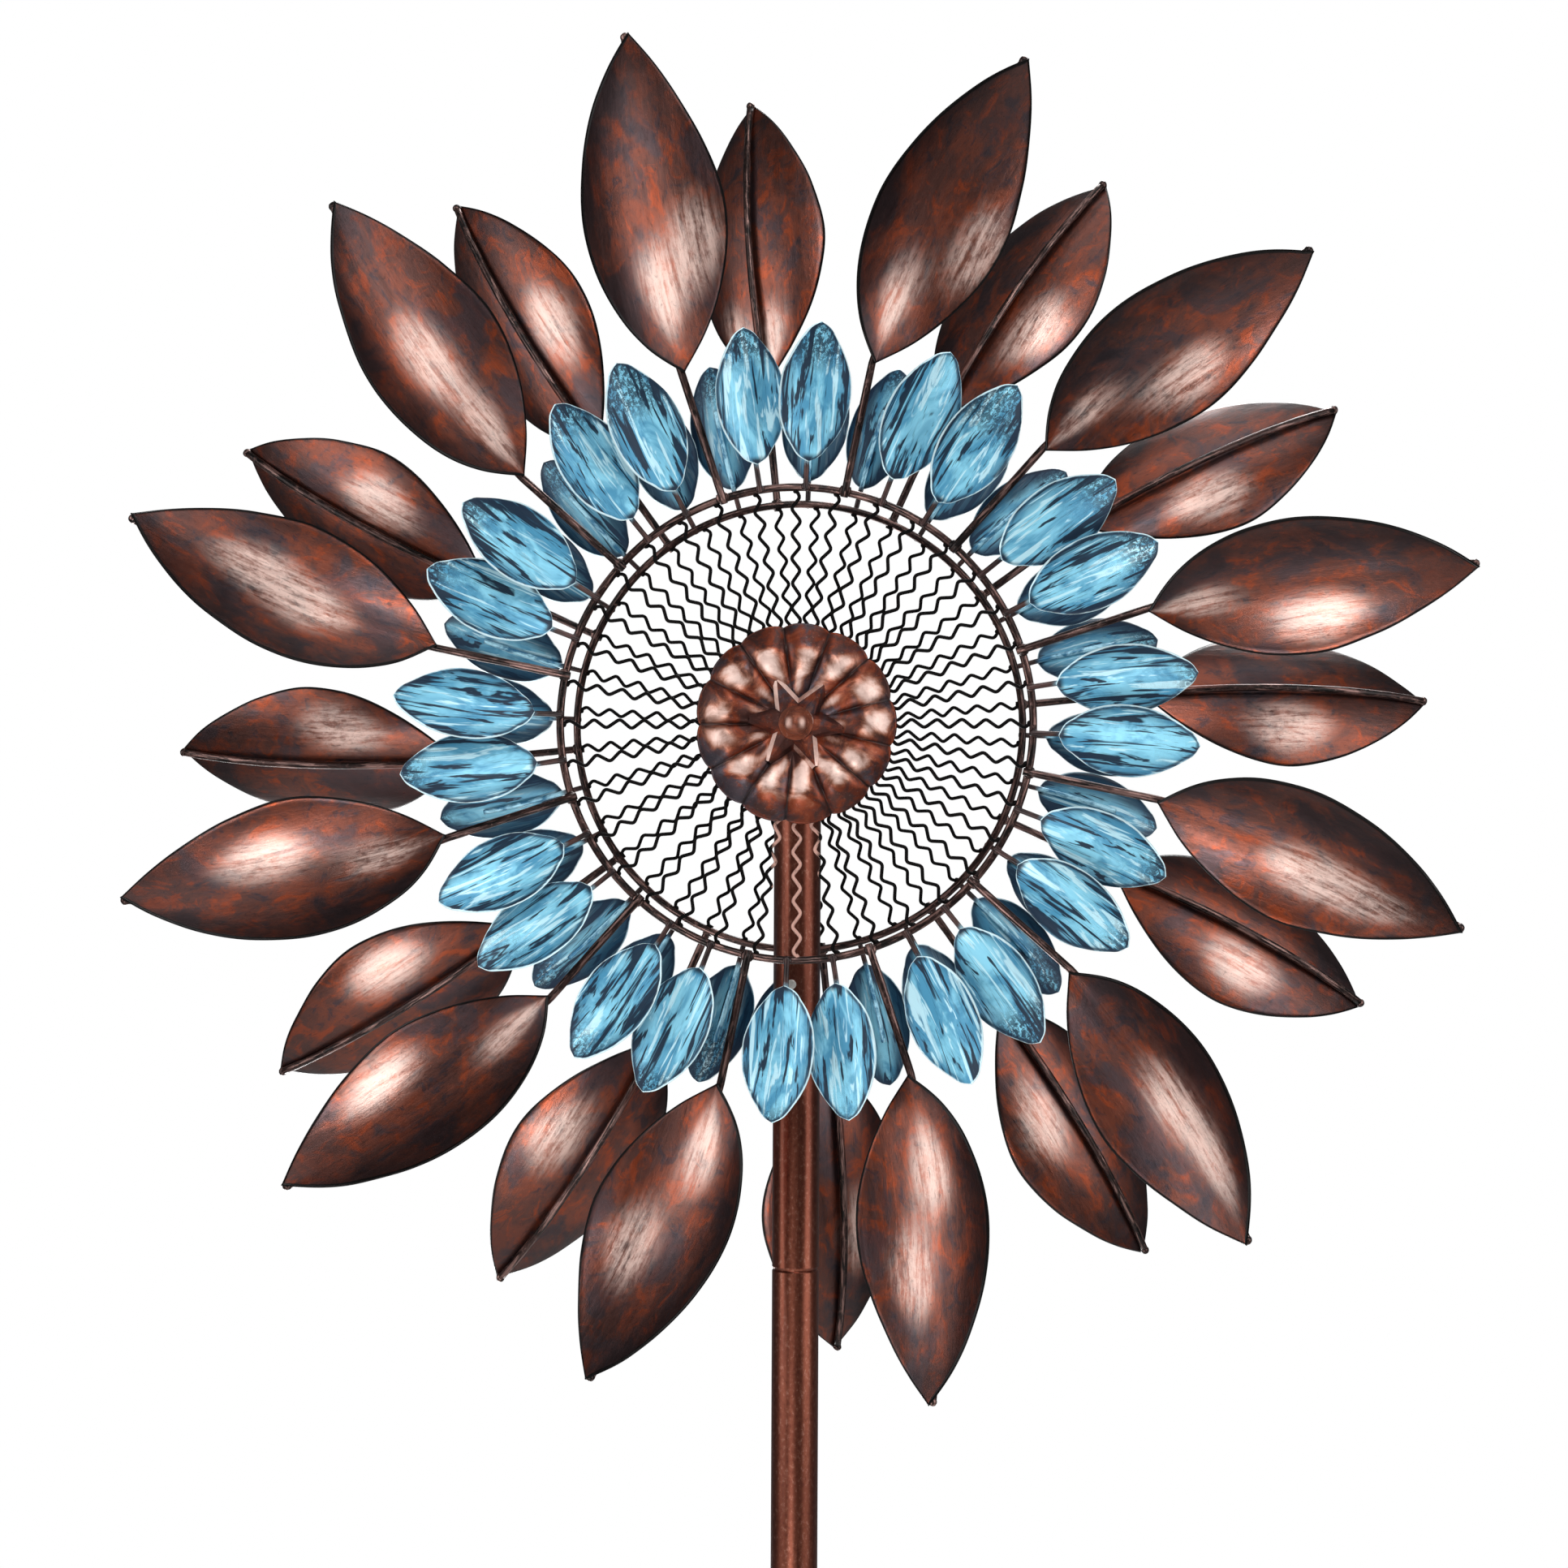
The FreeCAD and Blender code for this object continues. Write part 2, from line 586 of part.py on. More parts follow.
def save_post():
    save("stake_prongs", stake_prongs())
    save("stake_socket", stake_socket())
    save("socket_clamp_screws", clamp_screws())
    for index in range(1, POLE_SECTIONS + 1):
        save("pole_section_" + str(index), pole_section(index))
    save("pole_joint_screws", pole_screws())
    save("head_tube", head_tube())
    save("head_cap", head_cap())
    save("head_lock_screw", lock_screw())
    save("axle_housing", axle_housing())
    save("axle", axle())
    save("axle_spacers", axle_spacers())
    save("bearing_inner_races", inner_races())
    save("bearing_balls", bearing_balls())
    save("axle_washers", washers())
    save("acorn_nuts", acorn_nuts())


def save_rotor(rotor):
    name = rotor["name"]
    arm_angles = [rotor["arms"] + 360 / LEAF_COUNT * i for i in range(LEAF_COUNT)]
    petal_angles = [arm + offset for arm in arm_angles for offset in rotor["petals"]]
    wire_angles = [rotor["wires"] + 360 / WIRE_COUNT * i for i in range(WIRE_COUNT)]
    leaf, arm = leaf_and_arm()
    petal, stem = petal_and_stem()
    save(name + "_hub", placed(hub(), rotor))
    save(name + "_bearing_outer_races", repeated(outer_races(), rotor, [0.0]))
    save(name + "_ring", placed(ring(), rotor))
    save(name + "_spoke_wires", repeated(zigzag_wire(), rotor, wire_angles))
    save(name + "_leaf_arms", repeated(arm, rotor, arm_angles))
    save(name + "_petal_stems", repeated(stem, rotor, petal_angles))
    save(name + "_petals", repeated(petal, rotor, petal_angles))
    save(name + "_rosette", placed(rosette(), rotor))
    save(name + "_star", placed(star(), rotor))
    for number, angle in enumerate(arm_angles, 1):
        save(name + "_leaf_{:02d}".format(number), placed(leaf, rotor, angle))


os.makedirs("parts", exist_ok=True)
save_post()
save_rotor(FRONT)
save_rotor(BACK)
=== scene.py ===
import json
import math
import random

import bpy
from mathutils import Euler, Matrix, Vector, noise


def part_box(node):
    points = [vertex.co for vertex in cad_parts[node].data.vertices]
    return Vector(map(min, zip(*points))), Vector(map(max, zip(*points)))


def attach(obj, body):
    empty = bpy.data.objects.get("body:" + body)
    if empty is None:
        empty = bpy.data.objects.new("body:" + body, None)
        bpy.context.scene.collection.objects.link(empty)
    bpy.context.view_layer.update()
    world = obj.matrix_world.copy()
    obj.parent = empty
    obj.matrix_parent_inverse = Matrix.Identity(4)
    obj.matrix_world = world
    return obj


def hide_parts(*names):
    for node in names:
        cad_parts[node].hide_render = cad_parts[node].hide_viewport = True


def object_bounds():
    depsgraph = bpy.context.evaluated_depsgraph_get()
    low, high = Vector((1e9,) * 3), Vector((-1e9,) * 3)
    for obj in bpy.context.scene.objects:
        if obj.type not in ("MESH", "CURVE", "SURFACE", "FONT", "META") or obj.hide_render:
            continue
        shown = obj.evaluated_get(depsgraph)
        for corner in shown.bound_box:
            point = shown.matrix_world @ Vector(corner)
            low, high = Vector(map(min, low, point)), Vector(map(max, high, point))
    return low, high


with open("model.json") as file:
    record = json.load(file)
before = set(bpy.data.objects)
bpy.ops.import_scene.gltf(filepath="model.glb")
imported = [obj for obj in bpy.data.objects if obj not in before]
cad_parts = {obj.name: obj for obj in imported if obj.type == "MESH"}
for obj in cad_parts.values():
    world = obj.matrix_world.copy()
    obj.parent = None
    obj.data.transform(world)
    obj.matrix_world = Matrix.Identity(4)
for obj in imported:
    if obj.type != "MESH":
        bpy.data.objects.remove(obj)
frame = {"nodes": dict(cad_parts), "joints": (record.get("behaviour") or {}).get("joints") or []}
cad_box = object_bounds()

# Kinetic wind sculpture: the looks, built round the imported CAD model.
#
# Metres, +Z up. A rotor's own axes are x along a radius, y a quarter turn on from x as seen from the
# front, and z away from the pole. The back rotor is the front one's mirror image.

MM = 0.001

# ---- dimensions shared with the CAD model, in millimetres ---------------------------------------

LEAF_COUNT = 12
# A blade's base is its foot's radius, its outline is (share of the length, half width), and its rod backs
# 'rod_reach' of its length.
LEAF = {"base": 164.5, "length": 148.5, "spine_bend": 225.0, "cup_bend": 73.0, "pitch": 30.0,
        "sheet": 1.2, "rod": 1.75, "rod_start": 103.5, "rod_reach": 0.98,
        "outline": ((0.0, 0.0), (0.1, 15.8), (0.25, 29.2), (0.45, 35.6), (0.65, 30.7), (0.8, 21.2),
                    (0.9, 12.1), (1.0, 0.0))}
PETAL = {"base": 117.2, "length": 63.3, "spine_bend": 150.0, "cup_bend": 34.0, "pitch": 17.0,
         "sheet": 0.8, "rod": 1.25, "rod_start": 104.5, "rod_reach": 0.62,
         "outline": ((0.0, 0.0), (0.03, 4.4), (0.1, 8.4), (0.2, 12.8), (0.35, 16.1), (0.5, 16.9),
                     (0.65, 15.7), (0.8, 11.8), (0.9, 7.7), (0.97, 3.9), (1.0, 0.0))}
WELD_SINK = 0.15             # how far a welded rod sinks into what it lies on
RING_R = 106.0
RING_ROD_R = 1.75
POLE_R = 10.8
WIRE_COUNT = 36
WIRE_R = 0.8
WIRE_INNER_R = 31.0
WIRE_OUTER_R = 105.0
WIRE_FIRST_CORNER = 101.7
WIRE_PERIOD = 11.1
WIRE_SWING = 2.1
WIRE_BEND = 1.5              # run of each bend before and after its corner
ROSETTE_R = 45.0
ROSETTE_HOLE_R = 6.4
ROSETTE_LOBES = 13
ROSETTE_SHEET = 1.0
ROSETTE_SEAT_R = 13.5
ROSETTE_CREST_R = 31.0
ROSETTE_RISE = 7.0           # crest above the seat
ROSETTE_DROP = 9.2           # rim below the crest
ROSETTE_SWELL = 3.4          # a lobe's middle above its creases
ROSETTE_SCALLOP = 1.8        # depth of the notch between two lobes at the rim
ROSETTE_TURN = 70.0          # degrees from the rotor's x to the first crease
STAR_POINTS = 6
STAR_R = 20.8
STAR_VALLEY_R = 9.0
STAR_COLLAR_R = 7.4
STAR_TURN = -5.5
STAR_VALLEY_RISE = 3.2       # heights above the rosette's seat
STAR_TIP_RISE = 4.2
STAR_PEAK_RISE = 8.6
STAR_SKIRT = 2.4             # spread of a point's side wall

AXLE = Vector(frame["joints"][0]["pos_m"])
# Angles in degrees about the axle; 'petals' is where the two petals stand beside each arm; 'crease' is the
# height of a leaf's fold and 'bow' its sideways bend, in millimetres. For each leaf: lean in degrees about the
# axle, width and length against the nominal, and the spots that get a painted highlight, as (share of the
# length, place across the leaf).
ROTORS = (
    {"name": "front", "side": -1, "arms": 18.4, "wires": 10.4, "petals": (-9.3, 9.6), "seed": 11,
     "crease": 0.5, "bow": 0.0, "leaves": (
         (-0.7, 0.97, 1.0, ((0.50, -0.55), (0.12, -0.1))),
         (-1.3, 0.955, 1.0, ((0.46, -0.50), (0.14, 0.0))),
         (-3.0, 0.955, 1.02, ((0.20, 0.05), (0.42, -0.72))),
         (0.1, 1.02, 1.03, ((0.24, 0.0), (0.36, -0.62))),
         (-2.0, 1.0, 1.0, ((0.46, 0.0), (0.16, -0.1))),
         (-0.9, 0.96, 1.0, ((0.60, -0.20), (0.40, 0.05))),
         (1.2, 1.02, 0.995, ((0.56, -0.32), (0.18, 0.0))),
         (-1.4, 0.955, 0.985, ((0.57, -0.58), (0.14, 0.0))),
         (-1.1, 1.01, 0.975, ((0.56, -0.35), (0.20, 0.1))),
         (-2.4, 0.955, 1.0, ((0.28, 0.1), (0.60, -0.3))),
         (-2.7, 0.955, 0.98, ((0.50, 0.05), (0.76, 0.2))),
         (-1.0, 0.955, 0.995, ((0.50, -0.25), (0.72, -0.35))))},
    {"name": "back", "side": 1, "arms": 6.0, "wires": 6.0, "petals": (-7.8, 9.8), "seed": 47,
     "crease": 1.3, "bow": -2.4, "leaves": (
         (1.3, 1.02, 1.0, ((0.46, -0.5),)),
         (-0.4, 1.01, 1.0, ((0.40, -0.5),)),
         (-0.3, 1.0, 1.005, ((0.36, -0.5),)),
         (3.5, 1.0, 1.01, ((0.10, -0.3), (0.12, 0.5))),
         (2.3, 1.0, 1.015, ((0.40, -0.45),)),
         (2.4, 0.99, 1.0, ((0.42, -0.4),)),
         (1.0, 1.02, 1.0, ((0.36, -0.5),)),
         (2.3, 1.03, 1.01, ((0.42, -0.55),)),
         (0.0, 1.02, 1.03, ((0.40, -0.5),)),
         (2.2, 1.06, 0.995, ((0.55, 0.3),)),
         (2.2, 1.0, 1.01, ((0.36, -0.45),)),
         (2.7, 1.0, 1.0, ((0.50, -0.45),)))},
)
ARM_DARK_R = 288.0           # where the arm turns dark again, near the leaf's point
LEAN_GAIN = 2.1              # turn at the leaf's foot for one degree about the axle
FOLD_WIDTH = 9.0             # reach of a leaf's fold on each side of its spine
ARM_WELD_R = 2.9             # radii of the beads of weld on the ring
STEM_WELD_R = 2.1
WIRE_WELD_R = 1.3
GLINT_SHARE = 0.95            # share of the pole's width over which the front wires get a painted highlight of pale copper
PLACE_UNIT = 100             # millimetres in one unit of the 'place' attribute
HIGHLIGHT_LENGTH = 0.15           # reach of a painted highlight spot, as a share of the leaf's length
HIGHLIGHT_WIDTH = 0.34            # and of its half width


def plane_of(rotor):
    """Distance of the ring's plane from the pole's axis, in millimetres."""
    low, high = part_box(rotor["name"] + "_ring")
    return abs(low.y + high.y) / 2 / MM


def hub_face(rotor):
    """Distance of the hub's outer end, which the rosette sits on, from the pole's axis, in millimetres."""
    low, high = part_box(rotor["name"] + "_hub")
    return max(abs(low.y), abs(high.y)) / MM


# ---- mesh helpers --------------------------------------------------------------------------------

class Surface:
    """A mesh in the making: vertices in millimetres in a rotor's axes, with point attributes."""

    def __init__(self):
        self.points = []
        self.faces = []
        self.values = {}

    def add(self, point, **values):
        for name, value in values.items():
            self.values.setdefault(name, []).append(value)
        self.points.append(Vector(point))
        return len(self.points) - 1

    def grid(self, rows, closed_across=False, flip=False):
        """Quads between neighbouring rows of vertex numbers."""
        for low, high in zip(rows, rows[1:]):
            count = len(low)
            for i in range(count if closed_across else count - 1):
                j = (i + 1) % count
                quad = (low[i], low[j], high[j], high[i])
                self.faces.append(quad[::-1] if flip else quad)

    def moved(self, matrix):
        self.points = [matrix @ point for point in self.points]
        return self

    def joined(self, other):
        start = len(self.points)
        self.points += other.points
        self.faces += [tuple(i + start for i in face) for face in other.faces]
        for name, values in other.values.items():
            self.values.setdefault(name, []).extend(values)
        return self


def seat(rotor, angle=0.0):
    """Matrix from a rotor's axes, in millimetres, to the model, in metres."""
    turn = math.radians(angle)
    c, s = math.cos(turn), math.sin(turn)
    return Matrix(((c * MM, -s * MM, 0, 0),
                   (0, 0, rotor["side"] * MM, 0),
                   (s * MM, c * MM, 0, AXLE.z),
                   (0, 0, 0, 1)))


def as_object(surface, name, body, material, replaced, flip=False, smooth=True):
    """The finished piece, riding on its body in place of its CAD nodes."""
    mesh = bpy.data.meshes.new(name)
    faces = [face[::-1] for face in surface.faces] if flip else surface.faces
    mesh.from_pydata([tuple(point) for point in surface.points], [], faces)
    for key, values in surface.values.items():
        kind = "FLOAT_VECTOR" if isinstance(values[0], (tuple, Vector)) else "FLOAT"
        layer = mesh.attributes.new(key, kind, "POINT")
        if kind == "FLOAT":
            layer.data.foreach_set("value", values)
        else:
            layer.data.foreach_set("vector", [number for value in values for number in value])
    if smooth:
        mesh.shade_smooth()
    mesh.materials.append(material)
    mesh.update()
    piece = bpy.data.objects.new(name, mesh)
    bpy.context.scene.collection.objects.link(piece)
    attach(piece, body)
    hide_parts(*replaced)
    return piece


def tube(path, radius_at, sides=12, seed=0.0):
    """A rod along a list of points in one plane or nearly so, closed by a cap at each end."""
    skin = Surface()
    count = len(path)
    rows = []
    run = 0.0
    normal = Vector((0, 0, 1))
    for i, point in enumerate(path):
        ahead = path[min(i + 1, count - 1)]
        behind = path[max(i - 1, 0)]
        along = (ahead - behind).normalized()
        side = normal.cross(along).normalized()
        up = along.cross(side).normalized()
        if i:
            run += (point - path[i - 1]).length
        radius = radius_at(run)
        row = []
        for j in range(sides):
            turn = 2 * math.pi * j / sides
            offset = side * (math.cos(turn) * radius) + up * (math.sin(turn) * radius)
            row.append(skin.add(point + offset, tag=0.0,
                                place=(run / PLACE_UNIT, turn * radius / PLACE_UNIT, seed)))
        rows.append(row)
    skin.grid(rows, closed_across=True)
    skin.faces.append(tuple(rows[0][::-1]))
    skin.faces.append(tuple(rows[-1]))
    return skin


def bead(centre, radius, squash=0.6, seed=0.0, rings=8, sides=14, lumps=0.18):
    """A small lump of weld metal."""
    blob = Surface()
    rows = []
    for i in range(rings + 1):
        tilt = math.pi * (i + 0.02) / (rings + 0.04)
        row = []
        for j in range(sides):
            turn = 2 * math.pi * j / sides
            way = Vector((math.sin(tilt) * math.cos(turn), math.sin(tilt) * math.sin(turn),
                          math.cos(tilt)))
            size = radius * (1 + lumps * noise.noise(way * 1.7 + Vector((seed, 0, 0))))
            spot = Vector((way.x * size, way.y * size, way.z * size * squash))
            row.append(blob.add(centre + spot, tag=0.0,
                                place=(turn * radius / PLACE_UNIT, tilt * radius / PLACE_UNIT, seed)))
        rows.append(row)
    blob.grid(rows, closed_across=True, flip=True)
    blob.faces.append(tuple(rows[0]))
    blob.faces.append(tuple(rows[-1][::-1]))
    return blob


# ---- blades: leaves and petals -------------------------------------------------------------------

def blade_matrix(kind, plane):
    """From a blade's axes to its rotor's axes: the rod behind the blade lies on the radius."""
    offset = kind["sheet"] + kind["rod"]
    tilt = Matrix.Rotation(math.radians(kind["pitch"]), 4, "X")
    rod_plane = plane + RING_ROD_R + kind["rod"] - WELD_SINK
    return Matrix.Translation((0, 0, rod_plane)) @ tilt @ Matrix.Translation((0, 0, offset))


def blade_point(kind, along, across, depth):
    """A point of the bent sheet: 'along' and 'across' on the sheet, 'depth' behind its face."""
    turn = along / kind["spine_bend"]
    sweep = across / kind["cup_bend"]
    radius = kind["cup_bend"] + depth
    drop = kind["cup_bend"] - radius * math.cos(sweep)
    reach = kind["spine_bend"] - drop
    return Vector((kind["base"] + reach * math.sin(turn),
                   radius * math.sin(sweep),
                   kind["spine_bend"] - reach * math.cos(turn)))


def smooth_curve(knots):
    """A function through a row of (x, y) points that bends smoothly between them."""
    steps = [(b[1] - a[1]) / (b[0] - a[0]) for a, b in zip(knots, knots[1:])]
    slopes = [0.0] + [(before + after) / 2 for before, after in zip(steps, steps[1:])] + [0.0]
    slopes[0] = 1.5 * steps[0] - 0.5 * slopes[1]
    slopes[-1] = 1.5 * steps[-1] - 0.5 * slopes[-2]

    def value(x):
        i = 0
        while i < len(steps) - 1 and x > knots[i + 1][0]:
            i += 1
        span = knots[i + 1][0] - knots[i][0]
        t = min(1.0, max(0.0, (x - knots[i][0]) / span))
        start = (1 + 2 * t) * (1 - t) ** 2 * knots[i][1] + t * (1 - t) ** 2 * span * slopes[i]
        end = t * t * (3 - 2 * t) * knots[i + 1][1] - t * t * (1 - t) * span * slopes[i + 1]
        return start + end

    return value


def blade_sheet(kind, seed, wave, steps_along, steps_across, crease=0.0, width=1.0, highlight_spots=()):
    """Both faces and the rim of one blade, a little uneven, as hand-cut sheet is.

    'crease' lifts its spine; the listed spots get a painted highlight.
    """
    sheet = Surface()
    outline = smooth_curve(kind["outline"])
    shift = Vector((seed * 3.1, seed * 1.7, seed))

    def edge_share(share, side):
        ripple = noise.noise(Vector((share * 6.0, side * 2.0, seed))) * wave
        flat = max(0.0, outline(share)) * width
        fade = min(1.0, 6 * share, 6 * (1 - share))
        return kind["cup_bend"] * math.asin(flat / kind["cup_bend"]) + ripple * fade

    sides = []
    for face in (0, 1):
        rows = []
        for i in range(steps_along + 1):
            share = (1 - math.cos(math.pi * i / steps_along)) / 2
            share = 0.5 * share + 0.5 * i / steps_along
            row = []
            for j in range(steps_across + 1):
                cross = -1 + 2 * j / steps_across
                cross = math.copysign(1 - (1 - abs(cross)) ** 1.25, cross)
                half = max(0.25, edge_share(share, math.copysign(1, cross)))
                along = share * kind["length"]
                across = cross * half
                dent = noise.noise(Vector((along / 26, across / 20, 0)) + shift) * wave * 0.9
                dent += noise.noise(Vector((along / 60, across / 7, 5)) + shift) * wave * 0.35
                fold = math.exp(-abs(across) / FOLD_WIDTH)
                dent -= crease * fold * math.sin(math.pi * min(1.0, 0.12 + share)) ** 0.5
                rim = min(half * (1 - abs(cross)), along + 0.4, kind["length"] - along + 0.4)
                depth = (kind["sheet"] if face else 0.0) + dent
                if rim < kind["sheet"]:
                    round_off = kind["sheet"] / 2 * (1 - rim / kind["sheet"]) ** 2
                    depth += round_off if face == 0 else -round_off
                # strength of the painted highlight at this point, from the listed spots
                glow = sum(math.exp(-((share - s) / HIGHLIGHT_LENGTH) ** 2 - ((cross - c) / HIGHLIGHT_WIDTH) ** 2)
                           for s, c in highlight_spots)
                spot = blade_point(kind, along, across, depth)
                row.append(sheet.add(spot, place=(along / PLACE_UNIT, across / PLACE_UNIT, seed),
                                     share=(share, cross, rim), back=float(face), glow=min(1.0, glow)))
            rows.append(row)
        sheet.grid(rows, flip=bool(face))
        sides.append(rows)
    close_rim(sheet, sides[0], sides[1])
    return sheet


def reshaped(surface, kind, degrees, length, bow):
    """Stretches a blade with its rod, bows it sideways and leans it about its foot, in the rotor's axes."""
    turn = Matrix.Rotation(math.radians(degrees), 3, "Z")
    foot = Vector((kind["base"], 0, 0))
    for i, point in enumerate(surface.points):
        reach = point.x - kind["base"]
        if reach > 0:
            share = min(1.0, reach / kind["length"])
            offset = Vector((reach * length, point.y + bow * 4 * share * (1 - share), point.z))
            surface.points[i] = turn @ offset + foot
    return surface


def close_rim(sheet, front, back):
    """Joins the two faces of a sheet along its whole edge."""
    def loop(rows):
        return rows[0] + [row[-1] for row in rows[1:-1]] + rows[-1][::-1] + [row[0] for row in rows[-2:0:-1]]

    first, second = loop(front), loop(back)
    for i in range(len(first)):
        j = (i + 1) % len(first)
        sheet.faces.append((first[j], first[i], second[i], second[j]))


def blade_rod(kind, seed, sides, tip_bead):
    """The rod that runs out along the radius and on along the back of its blade."""
    offset = kind["sheet"] + kind["rod"]
    base = kind["base"]
    path = []
    straight = 14
    for i in range(straight):
        path.append(Vector((kind["rod_start"] + (base - kind["rod_start"]) * i / straight, 0, -offset)))
    bends = 30
    for i in range(bends + 1):
        path.append(blade_point(kind, kind["length"] * kind["rod_reach"] * i / bends, 0.0, offset))

    def radius_at(run):
        fine = noise.noise(Vector((run / 7, seed, 0))) * 0.07
        return kind["rod"] * (1 + fine + noise.noise(Vector((run / 19, seed, 3))) * 0.06)

    rod = tube(path, radius_at, sides=sides, seed=seed)
    if tip_bead:
        rod.joined(bead(path[-1], kind["rod"] * 1.2, 1.0, seed, lumps=0.08))
    return rod


# ---- materials -----------------------------------------------------------------------------------

class Recipe:
    """A material's nodes, written as plain calls."""

    def __init__(self, name):
        self.material = bpy.data.materials.new(name)
        self.material.use_nodes = True
        self.tree = self.material.node_tree
        self.tree.nodes.clear()

    def node(self, kind, inputs=(), **settings):
        made = self.tree.nodes.new(kind)
        for key, value in settings.items():
            setattr(made, key, value)
        for key, value in dict(inputs).items():
            socket = made.inputs[key]
            if isinstance(value, bpy.types.NodeSocket):
                self.tree.links.new(value, socket)
            else:
                socket.default_value = value
        return made

    def attribute(self, name, output="Vector"):
        return self.node("ShaderNodeAttribute", attribute_name=name).outputs[output]

    def mapped(self, vector, scale, offset=(0.0, 0.0, 0.0)):
        made = self.node("ShaderNodeMapping", {"Vector": vector, "Scale": scale, "Location": offset})
        return made.outputs["Vector"]

    def place(self, scale, offset=(0.0, 0.0, 0.0)):
        """The point's place on the flat sheet or along the rod, in tenths of a metre."""
        return self.mapped(self.attribute("place"), scale, offset)

    def object_place(self, scale):
        return self.mapped(self.node("ShaderNodeTexCoord").outputs["Object"], scale)

    def noise(self, vector, detail, roughness, distortion=0.0):
        made = self.node("ShaderNodeTexNoise", {"Vector": vector, "Scale": 1.0, "Detail": detail,
                                                "Roughness": roughness, "Distortion": distortion})
        return made.outputs["Fac"]

    def ramp(self, value, low, high, start=0.0, end=1.0, smooth=True):
        kind = "SMOOTHSTEP" if smooth else "LINEAR"
        return self.node("ShaderNodeMapRange", {"Value": value, "From Min": low, "From Max": high,
                                                "To Min": start, "To Max": end},
                         interpolation_type=kind).outputs["Result"]

    def math(self, operation, first, second=0.0):
        return self.node("ShaderNodeMath", {0: first, 1: second}, operation=operation).outputs[0]

    def mix(self, share, first, second):
        """A colour between two, by 'share'. 0, 6, 7 and 2 are the node's colour sockets."""
        return self.node("ShaderNodeMix", {0: share, 6: first, 7: second}, data_type="RGBA").outputs[2]

    def split(self, vector):
        return self.node("ShaderNodeSeparateXYZ", {"Vector": vector}).outputs

    def bump(self, height, depth, strength=1.0, before=None):
        inputs = {"Height": height, "Distance": depth, "Strength": strength}
        if before is not None:
            inputs["Normal"] = before
        return self.node("ShaderNodeBump", inputs).outputs["Normal"]

    def finish(self, colour, roughness, normal, metallic, coat=0.0, coat_roughness=0.2, specular=0.5):
        shader = self.node("ShaderNodeBsdfPrincipled", {
            "Base Color": colour, "Roughness": roughness, "Normal": normal, "Metallic": metallic,
            "Coat Weight": coat, "Coat Roughness": coat_roughness, "Specular IOR Level": specular})
        self.node("ShaderNodeOutputMaterial", {"Surface": shader.outputs[0]})
        return self.material


def rgb(code):
    """Linear colour of a six-digit sRGB code."""
    def linear(value):
        value /= 255
        return value / 12.92 if value <= 0.04045 else ((value + 0.055) / 1.055) ** 2.4

    return tuple(linear(int(code[i:i + 2], 16)) for i in (0, 2, 4)) + (1.0,)


